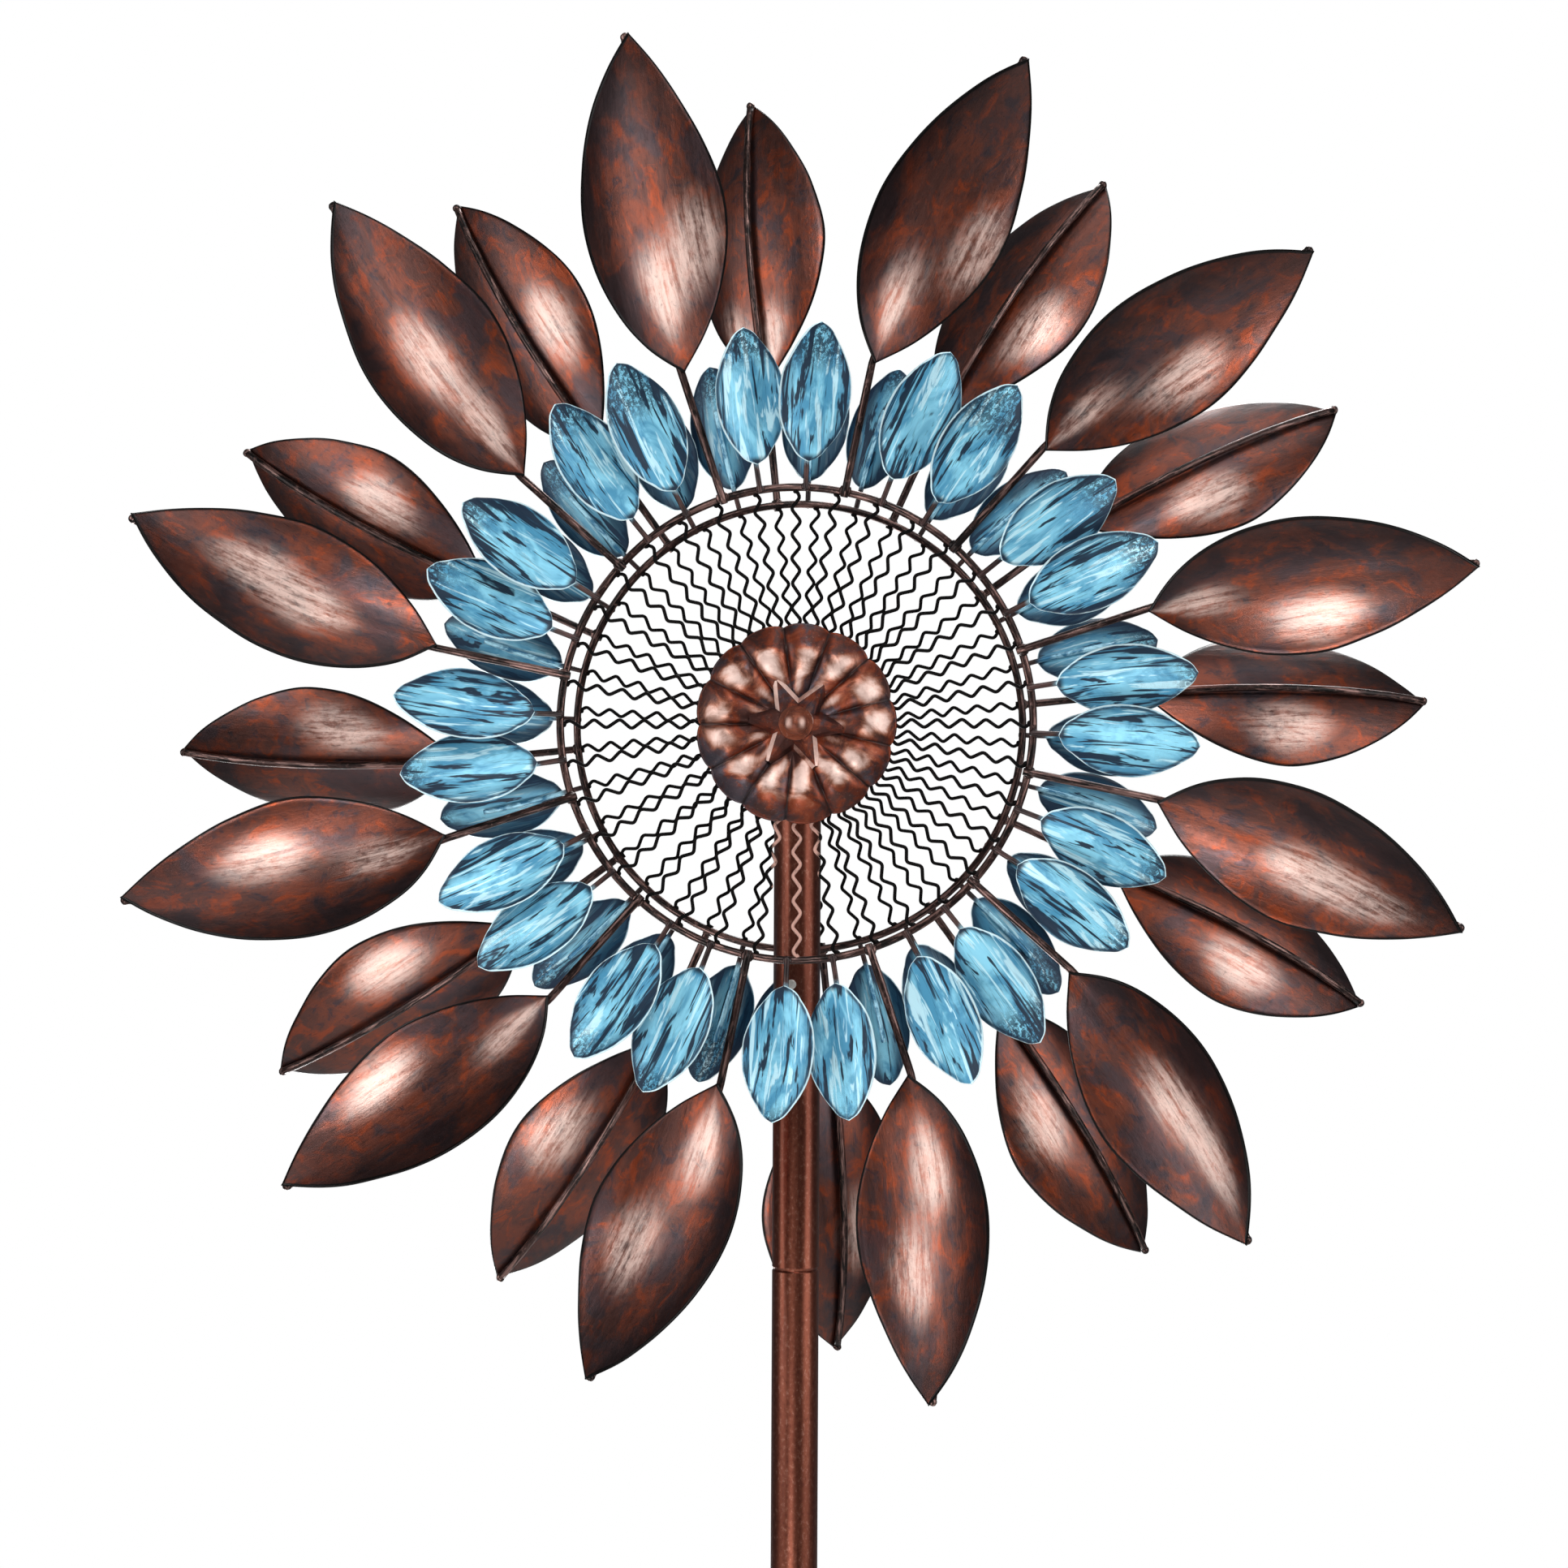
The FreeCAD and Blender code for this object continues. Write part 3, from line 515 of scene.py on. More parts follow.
def leaf_material():
    """Mottled rust, brown and slate, with brushed painted highlights, painted shade to one side and a
    near-black edge.
    """
    r = Recipe("leaf_copper")
    along, across, rim = r.split(r.attribute("share"))
    glow = r.attribute("glow", "Fac")
    slate = r.noise(r.place((2.6, 3.4, 1.0)), 5.0, 0.62, 0.6)
    patches = r.noise(r.place((4.2, 5.6, 1.0), (3.1, 0.7, 0.0)), 5.0, 0.64, 0.8)
    clouds = r.noise(r.place((7.0, 11.0, 1.0), (9.0, 4.0, 2.0)), 6.0, 0.68, 0.8)
    mottle = r.noise(r.place((22.0, 34.0, 1.0), (5.0, 2.0, 8.0)), 5.0, 0.72, 0.5)
    streaks = r.noise(r.place((3.2, 30.0, 1.0), (0.0, 0.0, 4.0)), 5.0, 0.68, 0.3)
    dashes = r.noise(r.place((14.0, 110.0, 1.0), (0.0, 0.0, 7.0)), 3.0, 0.6, 0.4)
    grain = r.noise(r.place((90.0, 120.0, 1.0), (0.0, 0.0, 1.0)), 3.0, 0.7)
    colour = r.mix(r.ramp(patches, 0.42, 0.62), rgb("5b3932"), rgb("773f2f"))
    colour = r.mix(r.ramp(clouds, 0.50, 0.65, 0.0, 0.8), colour, rgb("9c4320"))
    colour = r.mix(r.ramp(slate, 0.50, 0.60, 0.0, 0.85), colour, rgb("43383c"))
    colour = r.mix(r.ramp(clouds, 0.44, 0.34, 0.0, 0.7), colour, rgb("333038"))
    # painted shade: darker towards the leaf's +y side, broken up by the slate noise
    shade = r.math("ADD", across, r.math("MULTIPLY", r.math("SUBTRACT", slate, 0.5), 1.6))
    colour = r.mix(r.ramp(shade, 0.15, 0.95, 0.0, 0.75), colour, rgb("271b1d"))
    # painted highlight: a warm halo round each spot
    highlight_halo = r.math("MULTIPLY", glow, r.ramp(clouds, 0.34, 0.56))
    colour = r.mix(r.math("MULTIPLY", highlight_halo, 0.6), colour, rgb("9c5036"))
    # painted highlight: a pale, brushed core in each spot, with less metal there so the pale paint shows
    brushed = r.math("ADD", streaks, r.math("MULTIPLY", r.math("SUBTRACT", mottle, 0.5), 0.5))
    highlight_core = r.math("MULTIPLY", r.ramp(glow, 0.12, 0.95), r.ramp(brushed, 0.30, 0.66, 0.15, 1.0))
    colour = r.mix(r.math("MULTIPLY", highlight_core, 0.88), colour, rgb("efd0c4"))
    colour = r.mix(r.ramp(mottle, 0.58, 0.70, 0.0, 0.4), colour, rgb("281a1a"))
    colour = r.mix(r.ramp(dashes, 0.60, 0.72, 0.0, 0.5), colour, rgb("2a1b1b"))
    ends = r.math("SUBTRACT", along, r.math("MULTIPLY", slate, 0.2))
    colour = r.mix(r.ramp(ends, 0.46, 0.84, 0.0, 0.5), colour, rgb("2c2122"))
    edge = r.math("ADD", rim, r.math("MULTIPLY", clouds, 1.2))
    edge = r.math("SUBTRACT", edge, r.ramp(across, -0.2, 0.6, 0.0, 0.7))
    colour = r.mix(r.ramp(edge, 1.3, 2.2, 1.0, 0.0), colour, rgb("060303"))
    rough = r.ramp(streaks, 0.3, 0.7, 0.28, 0.40, smooth=False)
    rough = r.math("ADD", rough, r.ramp(mottle, 0.3, 0.7, -0.04, 0.08, smooth=False))
    normal = r.bump(streaks, 0.0003, 0.4)
    normal = r.bump(mottle, 0.0003, 0.35, normal)
    normal = r.bump(grain, 0.00005, 0.4, normal)
    return r.finish(colour, rough, normal, r.ramp(highlight_core, 0.0, 1.0, 0.86, 0.55), 0.2, 0.30)


def petal_material():
    """Sky blue brushed over navy, speckled near some tips; painted shade at the sides and back, pale rim
    partly painted highlight.
    """
    r = Recipe("petal_blue")
    along, across, rim = r.split(r.attribute("share"))
    back = r.attribute("back", "Fac")
    seed = r.split(r.attribute("place"))[2]
    lot = r.node("ShaderNodeTexWhiteNoise", {"W": seed}, noise_dimensions="1D").outputs["Value"]
    wash = r.noise(r.place((3.5, 8.0, 1.0)), 4.0, 0.6, 0.8)
    brush = r.noise(r.place((2.6, 23.0, 1.0), (0.0, 0.0, 3.0)), 3.5, 0.60, 0.9)
    fine = r.noise(r.place((7.0, 80.0, 1.0), (0.0, 0.0, 5.0)), 3.0, 0.6, 0.4)
    specks = r.noise(r.place((46.0, 62.0, 1.0), (0.0, 0.0, 9.0)), 4.0, 0.72, 0.6)
    colour = r.mix(r.ramp(wash, 0.38, 0.62), rgb("4992b5"), rgb("8bd2ea"))
    sides = r.math("ABSOLUTE", across)
    # painted shade: darker towards the petal's sides
    shade = r.math("ADD", sides, r.math("MULTIPLY", wash, 0.9))
    colour = r.mix(r.ramp(shade, 0.95, 1.45, 0.0, 0.7), colour, rgb("2a5f80"))
    strokes = r.math("ADD", brush, r.math("MULTIPLY", sides, 0.07))
    colour = r.mix(r.ramp(strokes, 0.57, 0.62, 0.0, 0.98), colour, rgb("071f35"))
    colour = r.mix(r.ramp(brush, 0.44, 0.38, 0.0, 0.8), colour, rgb("c9f0fa"))
    colour = r.mix(r.ramp(fine, 0.56, 0.70, 0.0, 0.45), colour, rgb("1d4a66"))
    reach = r.ramp(lot, 0.0, 1.0, 0.98, 0.40, smooth=False)
    tip = r.math("MULTIPLY", r.ramp(r.math("SUBTRACT", along, reach), 0.0, 0.22), r.ramp(specks, 0.42, 0.52))
    colour = r.mix(r.math("MULTIPLY", tip, 0.9), colour, rgb("082338"))
    # painted shade: the back face is darkened towards navy
    back_face_shade = r.math("MULTIPLY", back, r.ramp(shade, 0.55, 1.05, 0.25, 0.9))
    colour = r.mix(back_face_shade, colour, rgb("0d2a42"))
    foot = r.math("MULTIPLY", r.ramp(along, 0.07, 0.02), r.ramp(sides, 0.9, 0.3))
    colour = r.mix(foot, colour, rgb("0c2436"))
    # pale rim: a worn edge, thicker on the petal's +y side as a painted edge highlight
    edge = r.math("ADD", rim, r.math("MULTIPLY", r.math("SUBTRACT", wash, 0.5), 2.2))
    edge = r.math("ADD", edge, r.ramp(across, 0.3, -0.6, 0.0, 0.45))
    colour = r.mix(r.ramp(edge, 0.45, 0.95, 0.9, 0.0), colour, rgb("daf5fc"))
    # painted shade: a navy line just inside the pale rim
    inner = r.math("MULTIPLY", r.ramp(edge, 0.8, 1.2), r.ramp(edge, 3.2, 1.6))
    inner = r.math("MULTIPLY", inner, r.ramp(wash, 0.40, 0.52))
    colour = r.mix(r.math("MULTIPLY", inner, 0.85), colour, rgb("0a243a"))
    rough = r.ramp(brush, 0.3, 0.7, 0.36, 0.52, smooth=False)
    normal = r.bump(brush, 0.00025, 0.6)
    normal = r.bump(specks, 0.0001, 0.35, normal)
    return r.finish(colour, rough, normal, 0.2, 0.05, 0.3, 0.35)


def rod_material(name, dark, warm, light, metallic, rough_low, rough_high):
    """Painted rod: uneven bronze with rubbed, lighter high spots."""
    r = Recipe(name)
    uneven = r.noise(r.place((9.0, 18.0, 1.0)), 4.0, 0.65, 0.5)
    rubbed = r.noise(r.place((26.0, 40.0, 1.0), (0.0, 0.0, 6.0)), 4.0, 0.7, 0.4)
    wear_and_glint = r.noise(r.place((5.5, 60.0, 1.0), (2.0, 0.0, 3.0)), 4.0, 0.6, 0.3)
    colour = r.mix(r.ramp(uneven, 0.38, 0.64), rgb(dark), rgb(warm))
    colour = r.mix(r.ramp(wear_and_glint, 0.50, 0.62, 0.0, 0.75), colour, rgb(light))
    colour = r.mix(r.ramp(rubbed, 0.54, 0.72, 0.0, 0.5), colour, rgb(light))
    # tag: leaf-brown paint over a blade; on the arms the untagged side of the rod is a painted shadow line
    colour = r.mix(r.math("MULTIPLY", r.attribute("tag", "Fac"), 0.75), colour, rgb("6e4238"))
    rough = r.ramp(rubbed, 0.3, 0.7, rough_low, rough_high, smooth=False)
    normal = r.bump(uneven, 0.0006, 0.5)
    normal = r.bump(rubbed, 0.00015, 0.5, normal)
    return r.finish(colour, rough, normal, metallic, 0.1, 0.3)


def wire_material():
    """Near-black wire; where its tag says so, a painted highlight of pale copper, as the wires catch light in
    front of the pole.
    """
    r = Recipe("wire_paint")
    uneven = r.noise(r.place((14.0, 24.0, 1.0)), 4.0, 0.65, 0.5)
    wear_and_glint = r.math("MULTIPLY", r.attribute("tag", "Fac"), r.ramp(uneven, 0.30, 0.50))
    colour = r.mix(r.ramp(uneven, 0.40, 0.70), rgb("020101"), rgb("0c0707"))
    colour = r.mix(wear_and_glint, colour, rgb("c79c8f"))
    rough = r.ramp(uneven, 0.3, 0.7, 0.5, 0.65, smooth=False)
    metallic = r.ramp(wear_and_glint, 0.0, 1.0, 0.0, 0.5)
    return r.finish(colour, rough, r.bump(uneven, 0.0003, 0.5), metallic, 0.0, 0.3, 0.08)


def stem_material():
    """Bronze near the ring; blue, like the petal it is welded to, further out."""
    r = Recipe("stem_paint")
    uneven = r.noise(r.place((9.0, 18.0, 1.0)), 4.0, 0.65, 0.5)
    run = r.split(r.attribute("place"))[0]
    turned = r.math("ADD", run, r.math("MULTIPLY", r.math("SUBTRACT", uneven, 0.5), 0.06))
    blue = r.mix(r.ramp(uneven, 0.40, 0.60), rgb("2f6f92"), rgb("a9dcee"))
    bronze = r.mix(r.ramp(uneven, 0.38, 0.64), rgb("1e1212"), rgb("4a302c"))
    start = (PETAL["base"] - PETAL["rod_start"]) / PLACE_UNIT
    colour = r.mix(r.ramp(turned, start - 0.02, start + 0.03), bronze, blue)
    rough = r.ramp(uneven, 0.3, 0.7, 0.36, 0.5, smooth=False)
    return r.finish(colour, rough, r.bump(uneven, 0.0004, 0.5), 0.45, 0.15, 0.3)


def rosette_material():
    """Rust and brown copper with slate patches, painted highlights on the lobes, painted shade in the creases
    and at the rim.
    """
    r = Recipe("rosette_copper")
    crease = r.attribute("crease", "Fac")
    glow = r.attribute("glow", "Fac")
    cloud = r.noise(r.place((9.0, 9.0, 9.0), (2.0, 5.0, 1.0)), 5.0, 0.64, 0.8)
    patch = r.noise(r.place((5.0, 5.0, 5.0), (6.0, 1.0, 3.0)), 4.0, 0.6, 0.6)
    mottle = r.noise(r.place((34.0, 34.0, 34.0), (1.0, 8.0, 4.0)), 5.0, 0.7, 0.4)
    grain = r.noise(r.place((90.0, 90.0, 90.0)), 3.0, 0.7)
    colour = r.mix(r.ramp(cloud, 0.42, 0.62), rgb("4e302b"), rgb("82381e"))
    colour = r.mix(r.ramp(patch, 0.52, 0.64, 0.0, 0.85), colour, rgb("46434b"))
    colour = r.mix(r.ramp(mottle, 0.54, 0.70, 0.0, 0.3), colour, rgb("2c1a18"))
    # painted highlight: a warm halo, broken up by the cloud noise
    uneven = r.math("ADD", r.math("MULTIPLY", r.math("SUBTRACT", cloud, 0.5), 1.6), glow)
    colour = r.mix(r.ramp(uneven, 0.10, 0.55, 0.0, 0.8), colour, rgb("a3684f"))
    # painted highlight: pale cores, with less metal there so the pale paint shows
    highlight_core = r.math("MULTIPLY", r.ramp(uneven, 0.30, 1.0), r.ramp(mottle, 0.30, 0.60, 0.75, 1.0))
    colour = r.mix(r.math("MULTIPLY", highlight_core, 0.85), colour, rgb("f3d6cb"))
    colour = r.mix(r.ramp(grain, 0.58, 0.76, 0.0, 0.25), colour, rgb("c8a090"))
    # painted shade in the creases and at the rim
    colour = r.mix(r.math("MULTIPLY", r.ramp(crease, 0.30, 1.0), 0.92), colour, rgb("1a0e0d"))
    rough = r.ramp(cloud, 0.3, 0.7, 0.36, 0.50, smooth=False)
    normal = r.bump(mottle, 0.0003, 0.35)
    normal = r.bump(grain, 0.00008, 0.5, normal)
    return r.finish(colour, rough, normal, r.ramp(highlight_core, 0.0, 1.0, 0.85, 0.4), 0.15, 0.3)


def pole_material():
    """Fine-grained copper-brown paint."""
    r = Recipe("pole_paint")
    drift = r.noise(r.object_place((14.0, 14.0, 4.0)), 4.0, 0.6, 0.4)
    grain = r.noise(r.object_place((650.0, 650.0, 420.0)), 3.0, 0.7)
    streak = r.noise(r.object_place((500.0, 500.0, 12.0)), 3.0, 0.6)
    colour = r.mix(r.ramp(drift, 0.38, 0.62), rgb("6b3526"), rgb("824633"))
    colour = r.mix(r.ramp(grain, 0.52, 0.72, 0.0, 0.4), colour, rgb("b58776"))
    colour = r.mix(r.ramp(grain, 0.46, 0.32, 0.0, 0.45), colour, rgb("4e2318"))
    colour = r.mix(r.ramp(streak, 0.54, 0.72, 0.0, 0.35), colour, rgb("4c2820"))
    rough = r.ramp(grain, 0.3, 0.7, 0.28, 0.36, smooth=False)
    return r.finish(colour, rough, r.bump(grain, 0.00004, 0.3), 0.95, 0.25, 0.3)


def steel_material(name, light, dark, stretch, low, high, metallic=1.0):
    """Turned or plated steel with fine marks."""
    r = Recipe(name)
    marks = r.noise(r.object_place(stretch), 4.0, 0.65)
    stain = r.noise(r.object_place((60.0, 60.0, 60.0)), 4.0, 0.6, 0.4)
    colour = r.mix(r.ramp(stain, 0.40, 0.66), rgb(light), rgb(dark))
    rough = r.ramp(marks, 0.3, 0.7, low, high, smooth=False)
    return r.finish(colour, rough, r.bump(marks, 0.00008, 0.5), metallic)


def nut_material():
    """Copper-painted hardware, worn to a lighter colour on its grain, with a painted highlight on each of the
    dome's two flanks.
    """
    r = Recipe("nut_paint")
    cloud = r.noise(r.object_place((120.0, 120.0, 120.0)), 4.0, 0.6, 0.6)
    grain = r.noise(r.object_place((900.0, 900.0, 900.0)), 3.0, 0.7)
    colour = r.mix(r.ramp(cloud, 0.40, 0.62), rgb("6a3d30"), rgb("94533c"))
    colour = r.mix(r.ramp(grain, 0.56, 0.74, 0.0, 0.4), colour, rgb("c8988a"))
    # painted highlight on the dome's two flanks, from how far the surface faces sideways
    sideways, _, upward = r.split(r.node("ShaderNodeNewGeometry").outputs["Normal"])
    flank = r.math("ABSOLUTE", sideways)
    flank_highlight = r.math("MULTIPLY", r.ramp(flank, 0.15, 0.60), r.ramp(flank, 0.98, 0.65))
    flank_highlight = r.math("MULTIPLY", flank_highlight, r.ramp(r.math("ABSOLUTE", upward), 0.70, 0.0))
    flank_highlight = r.math("MULTIPLY", flank_highlight, r.ramp(cloud, 0.30, 0.55, 0.5, 1.0))
    colour = r.mix(r.math("MULTIPLY", flank_highlight, 0.8), colour, rgb("e9c6b8"))
    rough = r.ramp(cloud, 0.3, 0.7, 0.50, 0.58, smooth=False)
    return r.finish(colour, rough, r.bump(grain, 0.00003, 0.4), r.ramp(flank_highlight, 0.0, 1.0, 0.9, 0.3), 0.1, 0.4)


# ---- rotor pieces --------------------------------------------------------------------------------

def make_leaves(rotor, material):
    place = blade_matrix(LEAF, plane_of(rotor))
    body = rotor["name"] + "_rotor"
    for number, (lean, width, length, highlight_spots) in enumerate(rotor["leaves"]):
        seed = rotor["seed"] + number * 1.37
        sheet = blade_sheet(LEAF, seed, 0.45, 72, 28, rotor["crease"], width, highlight_spots)
        reshaped(sheet.moved(place), LEAF, LEAN_GAIN * lean, length, rotor["bow"])
        sheet.moved(seat(rotor, rotor["arms"] + 360 / LEAF_COUNT * number))
        name = "{}_leaf_{:02d}".format(rotor["name"], number + 1)
        as_object(sheet, name + "_sheet", body, material, [name], flip=rotor["side"] > 0)


def make_arms(rotor, material):
    """Twelve leaf arms, each with its weld on the ring."""
    plane = plane_of(rotor)
    place = blade_matrix(LEAF, plane)
    whole = Surface()
    for number, (lean, _, length, _) in enumerate(rotor["leaves"]):
        seed = rotor["seed"] + 5.3 * number
        arm = blade_rod(LEAF, seed, 12, True).moved(place)
        # tag: leaf-brown paint over the blade from its foot out to ARM_DARK_R, on the rod's +y half; the -y
        # half is left dark as a painted shadow line
        arm.values["tag"] = [eased(LEAF["base"], LEAF["base"] + 12, point.x)
                             * (1 - eased(ARM_DARK_R, ARM_DARK_R + 8, point.x))
                             * eased(-0.7, 0.3, point.y) for point in arm.points]
        reshaped(arm, LEAF, LEAN_GAIN * lean, length, rotor["bow"])
        arm.joined(bead(Vector((RING_R + 0.4, 0, plane + RING_ROD_R + 0.5)), ARM_WELD_R, 0.55, seed))
        whole.joined(arm.moved(seat(rotor, rotor["arms"] + 360 / LEAF_COUNT * number)))
    name = rotor["name"] + "_leaf_arms"
    as_object(whole, name + "_rods", rotor["name"] + "_rotor", material, [name], flip=rotor["side"] > 0)


def petal_seats(rotor):
    """Seat of each petal with its own slight turn and stretch, and its seed."""
    draw = random.Random(rotor["seed"] * 5)
    arms = [rotor["arms"] + 360 / LEAF_COUNT * i for i in range(LEAF_COUNT)]
    for number, angle in enumerate(arm + offset for arm in arms for offset in rotor["petals"]):
        lean = Matrix.Rotation(math.radians(draw.uniform(-1.2, 1.2)), 4, "Z")
        size = Matrix.Diagonal((draw.uniform(0.965, 1.01), draw.uniform(0.93, 1.0), 1, 1))
        foot = Matrix.Translation((PETAL["base"], 0, 0))
        yield seat(rotor, angle), foot @ lean @ size @ foot.inverted(), number


def turned_blade(surface, change):
    """Applies a small change to the part of a blade or rod beyond the blade's foot."""
    surface.points = [change @ point if point.x > PETAL["base"] else point for point in surface.points]
    return surface


def make_petals(rotor, material):
    place = blade_matrix(PETAL, plane_of(rotor))
    whole = Surface()
    for there, change, number in petal_seats(rotor):
        sheet = blade_sheet(PETAL, rotor["seed"] * 2 + number * 2.71, 0.28, 40, 18).moved(place)
        whole.joined(turned_blade(sheet, change).moved(there))
    name = rotor["name"] + "_petals"
    as_object(whole, name + "_sheets", rotor["name"] + "_rotor", material, [name], flip=rotor["side"] > 0)


def make_stems(rotor, material):
    plane = plane_of(rotor)
    place = blade_matrix(PETAL, plane)
    whole = Surface()
    for there, change, number in petal_seats(rotor):
        seed = rotor["seed"] + 3.9 * number
        stem = turned_blade(blade_rod(PETAL, seed, 10, False).moved(place), change)
        stem.joined(bead(Vector((RING_R + 0.2, 0, plane + RING_ROD_R + 0.2)), STEM_WELD_R, 0.6, seed))
        whole.joined(stem.moved(there))
    name = rotor["name"] + "_petal_stems"
    as_object(whole, name + "_rods", rotor["name"] + "_rotor", material, [name], flip=rotor["side"] > 0)


def make_ring(rotor, material):
    """The rod ring, slightly uneven."""
    plane = plane_of(rotor)
    hoop = Surface()
    rows = []
    steps, sides = 300, 14
    for i in range(steps):
        turn = 2 * math.pi * i / steps
        way = Vector((math.cos(turn), math.sin(turn), 0))
        radius = RING_ROD_R * (1 + 0.05 * noise.noise(way * 14 + Vector((rotor["seed"], 0, 0))))
        row = []
        for j in range(sides):
            roll = 2 * math.pi * j / sides
            spot = way * (RING_R + radius * math.cos(roll)) + Vector((0, 0, plane + radius * math.sin(roll)))
            row.append(hoop.add(spot, tag=0.0,
                                place=(turn * RING_R / PLACE_UNIT, roll * RING_ROD_R / PLACE_UNIT,
                                       rotor["seed"])))
        rows.append(row)
    hoop.grid(rows + rows[:1], closed_across=True)
    hoop.moved(seat(rotor))
    name = rotor["name"] + "_ring"
    as_object(hoop, name + "_hoop", rotor["name"] + "_rotor", material, [name], flip=rotor["side"] > 0)


def wire_path(draw):
    """The zigzag's line: straight runs with small round bends, a little uneven."""
    corners = [Vector((WIRE_OUTER_R, 0, 0))]
    radius = WIRE_FIRST_CORNER
    swing = -WIRE_SWING
    while radius > WIRE_INNER_R + WIRE_PERIOD / 4:
        corners.append(Vector((radius + draw.uniform(-0.35, 0.35), swing * draw.uniform(0.86, 1.12), 0)))
        radius -= WIRE_PERIOD / 2
        swing = -swing
    corners.append(Vector((WIRE_INNER_R, 0, 0)))
    path = [corners[0]]
    for before, corner, after in zip(corners, corners[1:], corners[2:]):
        start = corner + (before - corner).normalized() * WIRE_BEND
        end = corner + (after - corner).normalized() * WIRE_BEND
        path.append(corner.lerp(before, 0.5))
        for share in (0.0, 0.25, 0.5, 0.75, 1.0):
            path.append(start.lerp(corner, share).lerp(corner.lerp(end, share), share))
    path.append(corners[-1])
    return path


def make_wires(rotor, material):
    plane = plane_of(rotor)
    draw = random.Random(rotor["seed"])
    whole = Surface()
    for number in range(WIRE_COUNT):
        seed = rotor["seed"] + 1.1 * number
        path = [point + Vector((0, 0, plane)) for point in wire_path(draw)]
        wire = tube(path, lambda run: WIRE_R, sides=8, seed=seed)
        wire.joined(bead(Vector((WIRE_OUTER_R - 0.6, 0, plane)), WIRE_WELD_R, 0.9, seed))
        whole.joined(wire.moved(seat(rotor, rotor["wires"] + 360 / WIRE_COUNT * number)))
    # painted highlight: the front wires below the axle that stand in front of the pole
    if rotor["side"] < 0:
        wear_and_glint = POLE_R * MM * GLINT_SHARE
        whole.values["tag"] = [float(abs(point.x) < wear_and_glint and point.z < AXLE.z) for point in whole.points]
    name = rotor["name"] + "_spoke_wires"
    as_object(whole, name + "_zigzags", rotor["name"] + "_rotor", material, [name], flip=rotor["side"] > 0)


def eased(low, high, value):
    share = min(1.0, max(0.0, (value - low) / (high - low)))
    return share * share * (3 - 2 * share)


def rosette_height(radius, lobe):
    """Height above the seat, and the painted shade in the creases and at the rim. 'lobe' runs from -1 to 1
    across one lobe.
    """
    crown = ROSETTE_RISE * eased(ROSETTE_SEAT_R - 3, ROSETTE_CREST_R, radius)
    if radius > ROSETTE_CREST_R:
        crown -= ROSETTE_DROP * ((radius - ROSETTE_CREST_R) / (ROSETTE_R - ROSETTE_CREST_R)) ** 1.9
    swell = ROSETTE_SWELL * eased(11.0, 27.0, radius) * (1 - 0.35 * eased(36.0, ROSETTE_R, radius))
    groove = 0.55 * abs(lobe) ** 2.2 + 0.45 * abs(lobe) ** 6
    # painted shade in the creases between lobes
    crease = eased(0.82, 1.0, abs(lobe)) * eased(11.0, 18.0, radius)
    # painted shade on the rim, where it curves back
    rim = eased(42.0, ROSETTE_R, radius) * 0.6
    return crown - swell * groove, max(crease, rim)


def rosette_painted_highlight(radius, lobe, turn, skew, strength):
    """Strength of the painted highlights: one towards the rim of a lobe and one by the star."""
    height = math.sin(turn)
    outer = 36.0 + (11.0 * height if height < 0 else -9.0 * height ** 3)
    slant = outer + 3.5 * skew * lobe
    far = math.exp(-((radius - slant) / 6.6) ** 4 - ((lobe - 1.3 * skew) / 0.68) ** 2)
    near = math.exp(-((radius - 18.0) / 5.0) ** 2 - ((lobe + skew) / 0.45) ** 2)
    return min(1.0, strength * far + 0.8 * near)


def make_rosette(rotor, material):
    base = hub_face(rotor)
    draw = random.Random(rotor["seed"] + 2)
    skews = [draw.uniform(-0.4, 0.4) for _ in range(ROSETTE_LOBES)]
    strengths = [draw.uniform(0.75, 1.0) for _ in range(ROSETTE_LOBES)]
    dish = Surface()
    steps_out, steps_lobe = 46, 22
    sides = []
    for face in (0, 1):
        rows = []
        for i in range(steps_out + 1):
            row = []
            for j in range(ROSETTE_LOBES * steps_lobe):
                lobe = -1 + 2 * (j % steps_lobe) / steps_lobe
                turn = 2 * math.pi * j / (ROSETTE_LOBES * steps_lobe) + math.radians(ROSETTE_TURN)
                edge = ROSETTE_R - ROSETTE_SCALLOP * abs(lobe) ** 3
                radius = ROSETTE_HOLE_R + (edge - ROSETTE_HOLE_R) * i / steps_out
                height, crease = rosette_height(radius, lobe)
                glow = rosette_painted_highlight(radius, lobe, turn, skews[j // steps_lobe], strengths[j // steps_lobe])
                way = Vector((math.cos(turn), math.sin(turn), 0))
                height += 0.25 * noise.noise(way * radius / 9 + Vector((rotor["seed"], 0, 0)))
                if radius < 1.4 * ROSETTE_SEAT_R:
                    height = max(height, 0.0)
                spot = way * radius + Vector((0, 0, base + (0.0 if face else ROSETTE_SHEET) + height))
                row.append(dish.add(spot, place=tuple(spot / PLACE_UNIT), crease=crease, glow=glow))
            rows.append(row)
        dish.grid(rows, closed_across=True, flip=bool(face))
        sides.append(rows)
    for front, back in ((sides[0][-1], sides[1][-1]), (sides[1][0], sides[0][0])):
        count = len(front)
        for i in range(count):
            j = (i + 1) % count
            dish.faces.append((front[i], front[j], back[j], back[i])[::-1])
    dish.moved(seat(rotor))
    name = rotor["name"] + "_rosette"
    as_object(dish, name + "_dish", rotor["name"] + "_rotor", material, [name], flip=rotor["side"] > 0)


# Skirts, by (point, side), that get a painted highlight; the other skirts get painted shade.
STAR_SHINE = {(1, 1): 0.7, (2, -1): 1.0, (2, 1): 1.0, (4, -1): 1.0, (5, -1): 0.6, (5, 1): 1.0}


